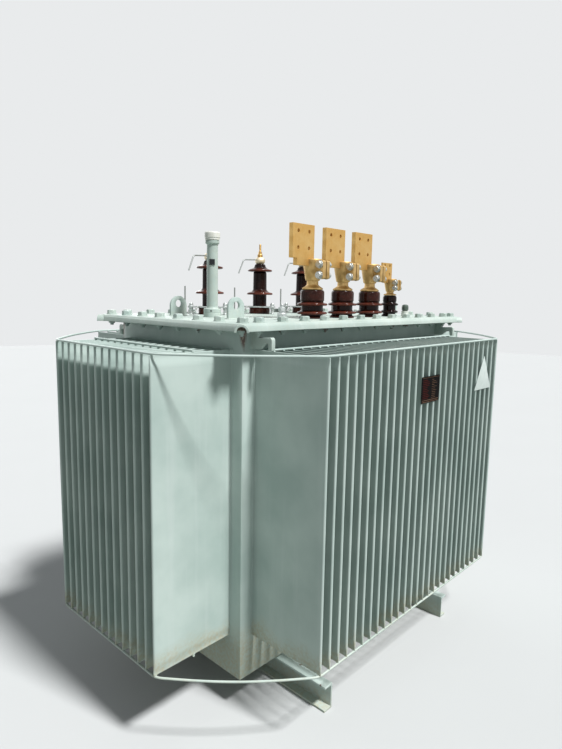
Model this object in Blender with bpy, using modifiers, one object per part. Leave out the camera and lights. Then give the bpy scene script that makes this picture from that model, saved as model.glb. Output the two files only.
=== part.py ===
"""Oil-filled power transformer with corrugated cooling walls, standing on two skid channels.

The origin is on the ground under the middle of the tank. X runs along the long side, Z is up,
and the low-voltage terminals stand on the front side, at -Y. All sizes are in metres.
"""
import bmesh
import bpy
from math import copysign, cos, pi, sin
from mathutils import Matrix, Vector

# Clearance between pieces that touch, and the overrun of every cutter past what it cuts
SEAT = 0.0003
OVERRUN = 0.004

# Skid channels, and the flat bearer bars that carry the tank on them
SKID_HEIGHT = 0.096
SKID_FLANGE_WIDTH = 0.040
SKID_WEB = 0.0055
SKID_FLANGE = 0.0085
SKID_LENGTH = 1.150
SKID_WEB_SPREAD = 0.790
SKID_OFFSET = -0.017
BEARER_HEIGHT = 0.012
BEARER_SETBACK = 0.010

# Corrugated walls: folded fins on a flat sheet, pinched shut at both ends
FIN_PITCH = 0.045
LONG_FINS = 27
SHORT_FINS = 14
FIN_DEPTH = 0.308
FIN_THICKNESS = 0.011
FIN_TIP_ROUND = 0.003
FIN_SEAM = 0.004
FIN_TAPER_HEIGHT = 0.040
FIN_HEIGHT = 1.000
WALL_SHEET = 0.004
WALL_LIP = 0.004

# Tank under and between the corrugated walls
END_MARGIN = 0.060
SKIRT_HEIGHT = 0.146
COLLAR_HEIGHT = 0.066
TANK_EDGE_ROUND = 0.004

# Bars and bent rods welded across the ends of the fins
ROD_RADIUS = 0.004
ROD_CORNER_RUN = 0.006
ROD_BEND = 0.020
ROD_BOW = 0.020
LONG_TIE_BAR_OFFSET = 0.078
SHORT_TIE_BAR_OFFSET = 0.154
TIE_BAR_OVERHANG = 0.004

# Tank flange, gasket and cover
FLANGE_WIDTH = 0.045
FLANGE_THICKNESS = 0.012
GASKET_THICKNESS = 0.004
GASKET_SETBACK = 0.008
GASKET_WIDTH = 0.060
COVER_PLATE = 0.008
COVER_OVERHANG = 0.008
RIM_REACH = 0.014
RIM_DROP = 0.025
CORNER_ARCH_RADIUS = 0.0226
CORNER_ARCH_PLATE = 0.007
CORNER_ARCH_OUT = 0.003
CORNER_ARCH_IN = 0.026
CORNER_ARCH_SKIRT = 0.0025

# Lifting lugs on the cover
LUG_X = 0.507
FRONT_LUG_Y = -0.165
BACK_LUG_Y = 0.173
LUG_WIDTH = 0.076
LUG_HEIGHT = 0.077
LUG_THICKNESS = 0.010
LUG_EYE_RADIUS = 0.015
LUG_EYE_HEIGHT = 0.047

# Lifting hooks on the tank collar
HOOK_X = 0.600
HOOK_LIFT = 0.004
HOOK_REACH = 0.092
HOOK_HEIGHT = 0.055
HOOK_ARM_TOP = 0.041
HOOK_ARM_FALL = 0.004
HOOK_ROOT_REACH = 0.034
HOOK_SHOULDER = 0.015
HOOK_LEG = 0.0155
HOOK_THROAT_HEIGHT = 0.0215
HOOK_THROAT_RUN = 0.015
HOOK_THROAT_ROUND = 0.004
HOOK_THICKNESS = 0.016
HOOK_ROUND = 0.009

# Oil filler and level tube
FILLER_X = -0.477
FILLER_Y = 0.000
FILLER_FLANGE_RADIUS = 0.0325
FILLER_FLANGE_HEIGHT = 0.032
FILLER_RADIUS = 0.0208
FILLER_HEIGHT = 0.284
FILLER_COLLAR_RADIUS = 0.0245
FILLER_COLLAR_HEIGHT = 0.012
FILLER_CAP_RADIUS = 0.029
FILLER_CAP_HEIGHT = 0.031
FILLER_CAP_ROUND = 0.003

# High-voltage bushings at the back
HV_PHASES = 3
HV_SPACING = 0.297
HV_OFFSET = -0.012
HV_Y = 0.220
HV_HEIGHT = 0.225
HV_BASE_RADIUS = 0.048
HV_SHOULDER_HEIGHT = 0.028
HV_NECK_RADIUS = 0.032
HV_LOWER_SHED_RADIUS = 0.061
HV_UPPER_SHED_RADIUS = 0.057
HV_SHED_THICKNESS = 0.020
HV_LOWER_SHED_HEIGHT = 0.086
HV_UPPER_SHED_HEIGHT = 0.192
HV_CORE_RADIUS = 0.026
HV_TOP_RADIUS = 0.022
HV_NUT_RADIUS = 0.0232
HV_NUT_HEIGHT = 0.030
HV_TAPER_RADIUS = 0.0115
HV_TAPER_TOP_RADIUS = 0.0075
HV_TAPER_HEIGHT = 0.026
HV_STUD_RADIUS = 0.005
HV_STUD_HEIGHT = 0.033
HV_PRESS_PLATE = 0.006
HV_PRESS_REACH = 0.083
HV_PRESS_ROUND = 0.014
HV_PRESS_STUDS = 3
HV_PRESS_STUD_RADIUS = 0.005
HV_PRESS_STUD_STEPS = 8
HV_CAP_NUT_RADIUS = 0.009
HV_CAP_NUT_HEIGHT = 0.017
HORN_RADIUS = 0.003
HORN_RISE = 0.020
HORN_ARM = 0.102
HORN_TIP_OUT = 0.030
HORN_DROOP = 0.005
HORN_TIP_DROP = 0.061
HORN_LOWER_REACH = 0.155
HORN_LOWER_TOP = 0.116
HORN_LOWER_BASE = 0.010
FIRST_HORN_TURN = pi / 16

# Low-voltage bushings at the front
LV_SPACING = 0.190
LV_Y = -0.250
LV_PHASES = 3
LV_HEIGHT = 0.109
LV_TOP_RADIUS = 0.046
LV_TOP_BOTTOM = 0.067
LV_SHED_RADIUS = 0.059
LV_SHED_HEIGHT = 0.054
LV_FOOT_SHED_HEIGHT = 0.022
LV_WAIST_RADIUS = 0.042
LV_BASE_RADIUS = 0.050
LV_SHED_THICKNESS = 0.014
NEUTRAL_X = 0.352
NEUTRAL_HEIGHT = 0.094
NEUTRAL_RADIUS_SHARE = 0.67

# Split clamp terminals with drilled flags on the low-voltage bushings
CLAMP_COLLAR_RADIUS = 0.040
CLAMP_COLLAR_EDGE = 0.006
CLAMP_COLLAR_SHARE = 0.5
CLAMP_NECK_RADIUS = 0.022
CLAMP_NECK_HEIGHT = 0.034
CLAMP_TOP_RADIUS = 0.040
CLAMP_BOTTOM_RADIUS = 0.027
CLAMP_HEIGHT = 0.080
CLAMP_EAR_REACH = 0.066
CLAMP_EAR_WIDTH = 0.040
CLAMP_EAR_MARGIN = 0.006
CLAMP_SLIT = 0.004
CLAMP_BORE_RADIUS = 0.012
FLAG_WIDTH = 0.120
FLAG_HEIGHT = 0.124
FLAG_THICKNESS = 0.020
FLAG_SHIFT = -0.007
FLAG_BRIDGE_SHARE = 0.80
FLAG_BRIDGE_DROP = 0.026
FLAG_HOLE_RADIUS = 0.0065
FLAG_HOLE_SPACING = 0.060
FLAG_HOLE_RISE = 0.006
NEUTRAL_NECK_HEIGHT = 0.017
NEUTRAL_CLAMP_HEIGHT = 0.056
NEUTRAL_CLAMP_SHARE = 0.72
NEUTRAL_FLAG_WIDTH = 0.076
NEUTRAL_FLAG_HEIGHT = 0.069
NEUTRAL_FLAG_THICKNESS = 0.009
NEUTRAL_FLAG_SHIFT = 0.002
NEUTRAL_HOLE_SPACING = 0.038

# Small fittings on the cover
POCKET_X = 0.455
POCKET_Y = -0.270
POCKET_NUT_RADIUS = 0.0155
PLUG_X = -0.390
PLUG_Y = -0.280
FITTING_HEIGHT = 0.054
FITTING_FOOT_RADIUS = 0.017
PLUG_NUT_RADIUS = 0.0125

# Plates on the tips of the front fins
NAMEPLATE_X = 0.009
NAMEPLATE_DROP = 0.204
NAMEPLATE_WIDTH = 0.132
NAMEPLATE_HEIGHT = 0.098
PLATE_THICKNESS = 0.002
TRIANGLE_X = 0.458
TRIANGLE_DROP = 0.203
TRIANGLE_WIDTH = 0.154
TRIANGLE_HEIGHT = 0.140

# How finely round shapes are divided
TURN_STEPS = 16
FINE_TURN_STEPS = 12
ARC_STEPS = 6
ARCH_STEPS = 7

# Heights and half sizes that follow from the sizes above
TANK_LENGTH = (LONG_FINS - 1) * FIN_PITCH + 2 * END_MARGIN
TANK_WIDTH = (SHORT_FINS - 1) * FIN_PITCH + 2 * END_MARGIN
BEARER_BOTTOM = SKID_HEIGHT + SEAT
TANK_BOTTOM = BEARER_BOTTOM + BEARER_HEIGHT
FIN_BOTTOM = TANK_BOTTOM + SKIRT_HEIGHT
FIN_TOP = FIN_BOTTOM + FIN_HEIGHT
FLANGE_BOTTOM = FIN_TOP + COLLAR_HEIGHT
TANK_TOP = FLANGE_BOTTOM + FLANGE_THICKNESS
COVER_BOTTOM = TANK_TOP + GASKET_THICKNESS
COVER_TOP = COVER_BOTTOM + COVER_PLATE
ON_COVER = COVER_TOP + SEAT
TIP_X = TANK_LENGTH / 2 + FIN_DEPTH
TIP_Y = TANK_WIDTH / 2 + FIN_DEPTH
HOOK_BOTTOM = FIN_TOP + HOOK_LIFT
LONG_FIN_REACH = (LONG_FINS - 1) * FIN_PITCH / 2
SHORT_FIN_REACH = (SHORT_FINS - 1) * FIN_PITCH / 2
LONG_WALL_REACH = LONG_FIN_REACH + FIN_THICKNESS / 2 + WALL_LIP
SHORT_WALL_REACH = SHORT_FIN_REACH + FIN_THICKNESS / 2 + WALL_LIP

# Linear colours, roughness and metallic value of each finish
PAINT = ("tank_paint", (0.50, 0.60, 0.55), 0.45, 0.0)
GALVANISED = ("galvanised_steel", (0.55, 0.56, 0.56), 0.40, 0.9)
PORCELAIN = ("brown_porcelain", (0.085, 0.018, 0.012), 0.12, 0.0)
BRASS = ("cast_brass", (0.72, 0.43, 0.16), 0.35, 1.0)
RUBBER = ("gasket_rubber", (0.03, 0.03, 0.03), 0.80, 0.0)
PLASTIC = ("cream_plastic", (0.80, 0.76, 0.66), 0.45, 0.0)
DARK_PLATE = ("etched_plate", (0.03, 0.02, 0.02), 0.40, 0.0)
WHITE_PLATE = ("white_plate", (0.80, 0.82, 0.80), 0.50, 0.0)


def clear_scene():
    for obj in list(bpy.data.objects):
        bpy.data.objects.remove(obj, do_unlink=True)


def make_collection(name):
    group = bpy.data.collections.new(name)
    bpy.context.scene.collection.children.link(group)
    return group


def finish(look):
    """The material of one finish, made the first time it is asked for."""
    name, colour, roughness, metallic = look
    found = bpy.data.materials.get(name)
    if found:
        return found
    made = bpy.data.materials.new(name)
    made.use_nodes = True
    shader = made.node_tree.nodes["Principled BSDF"]
    shader.inputs["Base Color"].default_value = (*colour, 1.0)
    shader.inputs["Roughness"].default_value = roughness
    shader.inputs["Metallic"].default_value = metallic
    return made


def place(name, data, look, group=None):
    """Links a mesh or curve to the scene as one named piece."""
    piece = bpy.data.objects.new(name, data)
    if not data.materials:
        data.materials.append(finish(look))
    (group or PARTS).objects.link(piece)
    return piece


def make_mesh(name, bm):
    bmesh.ops.recalc_face_normals(bm, faces=bm.faces)
    mesh = bpy.data.meshes.new(name)
    bm.to_mesh(mesh)
    bm.free()
    return mesh


def box_mesh(name, low, high):
    low, high = Vector(low), Vector(high)
    size = high - low
    bm = bmesh.new()
    fit = Matrix.Translation((low + high) / 2) @ Matrix.Diagonal((*size, 1.0))
    bmesh.ops.create_cube(bm, size=1.0, matrix=fit)
    return make_mesh(name, bm)


def cylinder_mesh(name, radius, bottom, top, steps, x=0.0, y=0.0):
    bm = bmesh.new()
    stand = Matrix.Translation((x, y, (bottom + top) / 2))
    bmesh.ops.create_cone(
        bm, cap_ends=True, segments=steps, radius1=radius, radius2=radius, depth=top - bottom, matrix=stand
    )
    return make_mesh(name, bm)


def turned(name, profile, look, steps=TURN_STEPS, group=None):
    """A solid of revolution: the profile's (radius, height) points run from the top down."""
    mesh = bpy.data.meshes.new(name)
    points = [(radius, 0.0, height) for radius, height in profile]
    mesh.from_pydata(points, [(i, i + 1) for i in range(len(points) - 1)], [])
    piece = place(name, mesh, look, group)
    turn = piece.modifiers.new("turn", "SCREW")
    turn.axis = "Z"
    turn.angle = 2 * pi
    turn.steps = steps
    turn.render_steps = steps
    turn.use_merge_vertices = True
    turn.merge_threshold = 0.00005
    turn.use_smooth_shade = True
    return piece


def arc(centre, radius, start, end, steps=ARC_STEPS):
    """Points of an arc in the plane, both ends included."""
    cx, cy = centre
    turns = [start + (end - start) * i / steps for i in range(steps + 1)]
    return [(cx + radius * cos(a), cy + radius * sin(a)) for a in turns]


def circle(centre, radius, steps):
    return arc(centre, radius, 0, 2 * pi, steps)[:-1]


def flat_plate(name, outlines, thickness, look, group=None):
    """A plate cut to closed outlines: the first is its edge and the others are holes."""
    curve = bpy.data.curves.new(name, "CURVE")
    curve.dimensions = "2D"
    curve.fill_mode = "BOTH"
    curve.extrude = thickness / 2
    for outline in outlines:
        spline = curve.splines.new("POLY")
        spline.points.add(len(outline) - 1)
        for point, (x, y) in zip(spline.points, outline):
            point.co = (x, y, 0.0, 1.0)
        spline.use_cyclic_u = True
    return place(name, curve, look, group)


def bent_rod(name, points, radius, look, closed=False, group=None):
    curve = bpy.data.curves.new(name, "CURVE")
    curve.dimensions = "3D"
    curve.bevel_depth = radius
    curve.bevel_resolution = 1
    curve.use_fill_caps = True
    spline = curve.splines.new("POLY")
    spline.points.add(len(points) - 1)
    for point, place_at in zip(spline.points, points):
        point.co = (*place_at, 1.0)
    spline.use_cyclic_u = closed
    return place(name, curve, look, group)


def as_mesh(piece, group):
    """Turns a curve or a piece with modifiers into a plain welded mesh piece of the same name."""
    bpy.context.view_layer.update()
    seen = piece.evaluated_get(bpy.context.evaluated_depsgraph_get())
    mesh = bpy.data.meshes.new_from_object(seen)
    bm = bmesh.new()
    bm.from_mesh(mesh)
    bmesh.ops.remove_doubles(bm, verts=bm.verts, dist=0.00001)
    bmesh.ops.recalc_face_normals(bm, faces=bm.faces)
    bm.to_mesh(mesh)
    bm.free()
    name = piece.name
    where = piece.matrix_world.copy()
    bpy.data.objects.remove(piece, do_unlink=True)
    made = bpy.data.objects.new(name, mesh)
    made.matrix_world = where
    group.objects.link(made)
    return made


def tool(name, mesh):
    """A helper solid that only cuts or joins and is never part of the object."""
    helper = bpy.data.objects.new(name, mesh)
    hide_tool(helper)
    TOOLS.objects.link(helper)
    return helper


def hide_tool(helper):
    helper.hide_render = True
    helper.display_type = "WIRE"


def combine(piece, helper, operation):
    step = piece.modifiers.new(helper.name, "BOOLEAN")
    step.operation = operation
    step.solver = "EXACT"
    step.object = helper
    return step


def join(piece, helper):
    combine(piece, helper, "UNION")


def cut(piece, helper):
    combine(piece, helper, "DIFFERENCE")


def skid_channel(name, side):
    """A rolled channel on edge, with its flanges pointing away from the middle of the tank."""
    top = SKID_HEIGHT
    outline = [
        (0.0, 0.0),
        (SKID_FLANGE_WIDTH, 0.0),
        (SKID_FLANGE_WIDTH, SKID_FLANGE),
        (SKID_WEB, SKID_FLANGE),
        (SKID_WEB, top - SKID_FLANGE),
        (SKID_FLANGE_WIDTH, top - SKID_FLANGE),
        (SKID_FLANGE_WIDTH, top),
        (0.0, top),
    ]
    skid = flat_plate(name, [outline], SKID_LENGTH, PAINT)
    stand = Matrix.Rotation(pi / 2, 4, "X")
    turn = Matrix.Rotation(0.0 if side > 0 else pi, 4, "Z")
    web = Matrix.Translation((SKID_OFFSET + side * SKID_WEB_SPREAD / 2, 0.0, 0.0))
    skid.matrix_world = web @ turn @ stand


def tank_body():
    """The tank up to its flange, on two bearer bars, with a shallow seat on each side for a wall."""
    half_x, half_y = TANK_LENGTH / 2, TANK_WIDTH / 2
    mesh = box_mesh("tank_body", (-half_x, -half_y, TANK_BOTTOM), (half_x, half_y, TANK_TOP))
    tank = place("tank_body", mesh, PAINT)
    depth = WALL_SHEET + SEAT
    low, high = FIN_BOTTOM - SEAT, FIN_TOP + SEAT
    long_run = LONG_WALL_REACH + SEAT
    short_run = SHORT_WALL_REACH + SEAT
    for side in (-1, 1):
        far = side * (half_y + OVERRUN)
        near = side * (half_y - depth)
        seat = box_mesh("long_seat", (-long_run, min(far, near), low), (long_run, max(far, near), high))
        cut(tank, tool("long_seat", seat))
        far = side * (half_x + OVERRUN)
        near = side * (half_x - depth)
        seat = box_mesh("short_seat", (min(far, near), -short_run, low), (max(far, near), short_run, high))
        cut(tank, tool("short_seat", seat))
        web = SKID_OFFSET + side * SKID_WEB_SPREAD / 2
        edge = web + side * SKID_FLANGE_WIDTH
        reach = half_y - BEARER_SETBACK
        bearer = box_mesh(
            "bearer", (min(web, edge), -reach, BEARER_BOTTOM), (max(web, edge), reach, TANK_BOTTOM + OVERRUN)
        )
        join(tank, tool("bearer", bearer))


def fin_outline(count, reach, half_fin):
    """Plan outline of a corrugated wall, seen from above, with the fins pointing to +Y."""
    tip = FIN_DEPTH
    corner = min(FIN_TIP_ROUND, half_fin / 2)
    points = [(-reach, -WALL_SHEET), (-reach, 0.0)]
    for number in range(count):
        middle = (number - (count - 1) / 2) * FIN_PITCH
        points += [
            (middle - half_fin, 0.0),
            (middle - half_fin, tip - corner),
            (middle - half_fin + corner, tip),
            (middle + half_fin - corner, tip),
            (middle + half_fin, tip - corner),
            (middle + half_fin, 0.0),
        ]
    return points + [(reach, 0.0), (reach, -WALL_SHEET)]


def loft(name, sections):
    """A closed solid through sections that all have the same number of points."""
    bm = bmesh.new()
    rings = [[bm.verts.new(point) for point in section] for section in sections]
    count = len(rings[0])
    for lower, upper in zip(rings, rings[1:]):
        for i in range(count):
            j = (i + 1) % count
            bm.faces.new((lower[i], lower[j], upper[j], upper[i]))
    bm.faces.new(rings[0])
    bm.faces.new(rings[-1])
    return make_mesh(name, bm)


def corrugated_mesh(name, count, reach):
    """A folded wall whose fins taper to a flat welded seam at the top and the bottom."""
    full, seam = FIN_THICKNESS / 2, FIN_SEAM / 2
    levels = [
        (0.0, seam),
        (FIN_TAPER_HEIGHT, full),
        (FIN_HEIGHT - FIN_TAPER_HEIGHT, full),
        (FIN_HEIGHT, seam),
    ]
    sections = [[(x, y, z) for x, y in fin_outline(count, reach, half)] for z, half in levels]
    return loft(name, sections)


def corrugated_walls():
    long_mesh = corrugated_mesh("long_wall", LONG_FINS, LONG_WALL_REACH)
    short_mesh = corrugated_mesh("short_wall", SHORT_FINS, SHORT_WALL_REACH)
    walls = [
        ("fin_wall_back", long_mesh, TANK_WIDTH / 2, 0.0),
        ("fin_wall_front", long_mesh, TANK_WIDTH / 2, pi),
        ("fin_wall_left", short_mesh, TANK_LENGTH / 2, pi / 2),
        ("fin_wall_right", short_mesh, TANK_LENGTH / 2, -pi / 2),
    ]
    for name, mesh, distance, turn in walls:
        wall = place(name, mesh, PAINT)
        outward = Matrix.Translation((0.0, distance, FIN_BOTTOM))
        wall.matrix_world = Matrix.Rotation(turn, 4, "Z") @ outward


def rod_loop():
    """Points of a rod bent round all the fin tips, which bows outwards across each open corner."""
    tip_x, tip_y = TIP_X - ROD_RADIUS, TIP_Y - ROD_RADIUS
    long_end = LONG_FIN_REACH + ROD_CORNER_RUN
    short_end = SHORT_FIN_REACH + ROD_CORNER_RUN
    corners = [
        (long_end, -tip_y), (tip_x, -short_end), (tip_x, short_end), (long_end, tip_y),
        (-long_end, tip_y), (-tip_x, short_end), (-tip_x, -short_end), (-long_end, -tip_y),
    ]
    points = []
    for i, corner in enumerate(corners):
        here = Vector(corner)
        before = here + (Vector(corners[i - 1]) - here).normalized() * ROD_BEND
        next_corner = Vector(corners[(i + 1) % len(corners)])
        after = here + (next_corner - here).normalized() * ROD_BEND
        points += [before, (before + 2 * here + after) / 4, after]
        middle = (here + next_corner) / 2
        if middle.x and middle.y:
            outward = Vector((copysign(1, middle.x), copysign(1, middle.y))).normalized()
            for share in (1 / 4, 1 / 2, 3 / 4):
                points.append(here.lerp(next_corner, share) + outward * ROD_BOW * sin(pi * share))
    return points


def ring_rods():
    for name, height in [
        ("ring_rod_top", FIN_TOP + SEAT + ROD_RADIUS),
        ("ring_rod_bottom", FIN_BOTTOM - SEAT - ROD_RADIUS),
    ]:
        points = [(x, y, height) for x, y in rod_loop()]
        bent_rod(name, points, ROD_RADIUS, PAINT, closed=True)


def tie_bars():
    """Straight bars laid across the top of the fins, between the tank and the tips."""
    height = FIN_TOP + SEAT + ROD_RADIUS
    long_reach = LONG_FIN_REACH + TIE_BAR_OVERHANG
    short_reach = SHORT_FIN_REACH + TIE_BAR_OVERHANG
    away_y = TANK_WIDTH / 2 + LONG_TIE_BAR_OFFSET
    away_x = TANK_LENGTH / 2 + SHORT_TIE_BAR_OFFSET
    for name, side in [("tie_bar_front", -1), ("tie_bar_back", 1)]:
        ends = [(-long_reach, side * away_y, height), (long_reach, side * away_y, height)]
        bent_rod(name, ends, ROD_RADIUS, PAINT)
    for name, side in [("tie_bar_left", -1), ("tie_bar_right", 1)]:
        ends = [(side * away_x, -short_reach, height), (side * away_x, short_reach, height)]
        bent_rod(name, ends, ROD_RADIUS, PAINT)


def frame_outlines(outer_x, outer_y, inner_x, inner_y):
    def rectangle(x, y):
        return [(-x, -y), (x, -y), (x, y), (-x, y)]

    return [rectangle(outer_x, outer_y), rectangle(inner_x, inner_y)]


def tank_flange():
    half_x, half_y = TANK_LENGTH / 2, TANK_WIDTH / 2
    outlines = frame_outlines(half_x + FLANGE_WIDTH, half_y + FLANGE_WIDTH, half_x + SEAT, half_y + SEAT)
    flange = flat_plate("tank_flange", outlines, FLANGE_THICKNESS, PAINT)
    flange.location.z = FLANGE_BOTTOM + FLANGE_THICKNESS / 2


def gasket():
    outer_x = TANK_LENGTH / 2 + FLANGE_WIDTH - GASKET_SETBACK
    outer_y = TANK_WIDTH / 2 + FLANGE_WIDTH - GASKET_SETBACK
    outlines = frame_outlines(outer_x, outer_y, outer_x - GASKET_WIDTH, outer_y - GASKET_WIDTH)
    seal = flat_plate("cover_gasket", outlines, GASKET_THICKNESS - 2 * SEAT, RUBBER)
    seal.location.z = TANK_TOP + GASKET_THICKNESS / 2


def arch_solid(name, radius, below, inner, outer):
    """A round-topped bar along +X whose straight sides run on below its axis by the given depth."""
    outline = arc((0.0, 0.0), radius, 0.0, pi, ARCH_STEPS) + [(-radius, -below), (radius, -below)]
    sections = [[(x, y, z) for y, z in outline] for x in (-inner, outer)]
    return loft(name, sections)


def cover():
    """A flat plate whose edge is bent down into a sloping rim, with a small arch at each corner."""
    flat_x = TANK_LENGTH / 2 + FLANGE_WIDTH + COVER_OVERHANG
    flat_y = TANK_WIDTH / 2 + FLANGE_WIDTH + COVER_OVERHANG
    bm = bmesh.new()
    fit = Matrix.Translation((0.0, 0.0, COVER_TOP)) @ Matrix.Diagonal((flat_x, flat_y, 1.0, 1.0))
    bmesh.ops.create_grid(bm, x_segments=1, y_segments=1, size=1.0, matrix=fit)
    fall_shares = [(0.42, 0.10), (0.72, 0.36), (1.00, 1.00)]
    out, down = 0.0, 0.0
    for out_share, down_share in fall_shares:
        edges = [edge for edge in bm.edges if edge.is_boundary]
        grown = bmesh.ops.extrude_edge_only(bm, edges=edges)["geom"]
        step_out = out_share * RIM_REACH - out
        step_down = down_share * RIM_DROP - down
        for vert in [item for item in grown if isinstance(item, bmesh.types.BMVert)]:
            vert.co.x += step_out if vert.co.x > 0 else -step_out
            vert.co.y += step_out if vert.co.y > 0 else -step_out
            vert.co.z -= step_down
        out += step_out
        down += step_down
    plate = place("cover", make_mesh("cover", bm), PAINT)
    shell = plate.modifiers.new("plate", "SOLIDIFY")
    shell.thickness = COVER_PLATE
    shell.offset = -1.0
    bore_radius = CORNER_ARCH_RADIUS - CORNER_ARCH_PLATE
    arch = arch_solid("corner_arch", CORNER_ARCH_RADIUS, CORNER_ARCH_SKIRT, CORNER_ARCH_IN, CORNER_ARCH_OUT)
    bore = arch_solid(
        "corner_bore", bore_radius, CORNER_ARCH_SKIRT + OVERRUN,
        CORNER_ARCH_IN + OVERRUN, CORNER_ARCH_OUT + OVERRUN
    )
    for side_x in (-1, 1):
        for side_y in (-1, 1):
            corner = (side_x * (flat_x + RIM_REACH), side_y * (flat_y + RIM_REACH), COVER_TOP - RIM_DROP)
            outward = Vector((side_x, side_y, 0.0)).to_track_quat("X", "Z").to_matrix().to_4x4()
            for mesh, operation in [(arch, "UNION"), (bore, "DIFFERENCE")]:
                helper = tool(mesh.name, mesh)
                helper.matrix_world = Matrix.Translation(corner) @ outward
                combine(plate, helper, operation)


def cover_lugs():
    """Round-topped plates with an eye, for lifting the cover and the core under it."""
    radius = LUG_WIDTH / 2
    edge = [(-radius, 0.0), (radius, 0.0)]
    edge += arc((0.0, LUG_HEIGHT - radius), radius, 0.0, pi, 2 * ARC_STEPS)
    eye = circle((0.0, LUG_EYE_HEIGHT), LUG_EYE_RADIUS, FINE_TURN_STEPS)
    stand = Matrix.Rotation(pi / 2, 4, "X")
    for name, side_x, lug_y in [
        ("cover_lug_front_left", -1, FRONT_LUG_Y), ("cover_lug_front_right", 1, FRONT_LUG_Y),
        ("cover_lug_back_left", -1, BACK_LUG_Y), ("cover_lug_back_right", 1, BACK_LUG_Y),
    ]:
        lug = flat_plate(name, [edge, eye], LUG_THICKNESS, PAINT)
        lug.matrix_world = Matrix.Translation((side_x * LUG_X, lug_y, ON_COVER)) @ stand


def tank_hooks():
    """Plates on the collar whose down-turned leg keeps a lifting rope in the throat behind it."""
    leg_in = HOOK_REACH - HOOK_LEG
    throat_round = (leg_in - HOOK_THROAT_ROUND, HOOK_THROAT_HEIGHT - HOOK_THROAT_ROUND)
    nose = (HOOK_REACH - HOOK_ROUND, HOOK_ARM_TOP - HOOK_ROUND)
    shoulder = (HOOK_ROOT_REACH - HOOK_SHOULDER, HOOK_HEIGHT - HOOK_SHOULDER)
    steps = ARC_STEPS // 2
    edge = [(0.0, 0.0), (HOOK_ROOT_REACH, 0.0), (leg_in - HOOK_THROAT_RUN, HOOK_THROAT_HEIGHT)]
    edge += arc(throat_round, HOOK_THROAT_ROUND, pi / 2, 0.0, steps)
    edge += [(leg_in, 0.0), (HOOK_REACH, 0.0)]
    edge += arc(nose, HOOK_ROUND, 0.0, pi / 2, steps)
    edge += [(HOOK_ROOT_REACH, HOOK_ARM_TOP - HOOK_ARM_FALL)]
    edge += arc(shoulder, HOOK_SHOULDER, 0.0, pi / 2, steps)
    edge += [(0.0, HOOK_HEIGHT)]
    upright = Matrix.Rotation(pi / 2, 4, "Z") @ Matrix.Rotation(pi / 2, 4, "X")
    for name, side_x, side_y in [
        ("tank_hook_front_left", -1, -1), ("tank_hook_front_right", 1, -1),
        ("tank_hook_back_left", -1, 1), ("tank_hook_back_right", 1, 1),
    ]:
        hook = flat_plate(name, [edge], HOOK_THICKNESS, PAINT)
        turn = Matrix.Rotation(0.0 if side_y > 0 else pi, 4, "Z")
        foot = Matrix.Translation((side_x * side_y * HOOK_X, TANK_WIDTH / 2 + SEAT, HOOK_BOTTOM))
        hook.matrix_world = turn @ foot @ upright


def filler_tube():
    """A painted standpipe on a thick foot, closed with a plastic cap."""
    top = FILLER_HEIGHT
    collar = top - FILLER_COLLAR_HEIGHT
    profile = [
        (0.0, top), (FILLER_COLLAR_RADIUS, top), (FILLER_COLLAR_RADIUS, collar), (FILLER_RADIUS, collar),
        (FILLER_RADIUS, FILLER_FLANGE_HEIGHT), (FILLER_FLANGE_RADIUS, FILLER_FLANGE_HEIGHT),
        (FILLER_FLANGE_RADIUS, 0.0), (0.0, 0.0),
    ]
    tube = turned("oil_filler_tube", profile, PAINT)
    tube.location = (FILLER_X, FILLER_Y, ON_COVER)
    edge = FILLER_CAP_ROUND
    cap_profile = [
        (0.0, FILLER_CAP_HEIGHT), (FILLER_CAP_RADIUS - edge, FILLER_CAP_HEIGHT),
        (FILLER_CAP_RADIUS, FILLER_CAP_HEIGHT - edge), (FILLER_CAP_RADIUS, 0.0), (0.0, 0.0),
    ]
    cap = turned("oil_filler_cap", cap_profile, PLASTIC)
    cap.location = (FILLER_X, FILLER_Y, ON_COVER + top + SEAT)


def shed(height, inner, outer, thickness):
    """Profile points of one porcelain shed, from its top meeting the core to its underside."""
    slope_share, edge_share, lip_share = 0.42, 0.78, 0.18
    lip = thickness * lip_share
    return [
        (inner, height),
        ((inner + outer) / 2, height - thickness * slope_share),
        (outer, height - thickness * edge_share),
        (outer - lip, height - thickness),
        (inner, height - thickness),
    ]


def hv_porcelain(name, x, turn):
    thickness = HV_SHED_THICKNESS
    profile = [
        (0.0, HV_HEIGHT), (HV_TOP_RADIUS, HV_HEIGHT),
        *shed(HV_UPPER_SHED_HEIGHT + thickness, HV_CORE_RADIUS, HV_UPPER_SHED_RADIUS, thickness),
        (HV_NECK_RADIUS, HV_UPPER_SHED_HEIGHT - thickness / 4),
        *shed(HV_LOWER_SHED_HEIGHT + thickness, HV_NECK_RADIUS, HV_LOWER_SHED_RADIUS, thickness),
        (HV_NECK_RADIUS, HV_SHOULDER_HEIGHT),
        (HV_BASE_RADIUS, HV_SHOULDER_HEIGHT), (HV_BASE_RADIUS, 0.0), (0.0, 0.0),
    ]
    body = turned(name, profile, PORCELAIN)
    body.matrix_world = Matrix.Translation((x, HV_Y, ON_COVER)) @ Matrix.Rotation(turn, 4, "Z")


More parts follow.
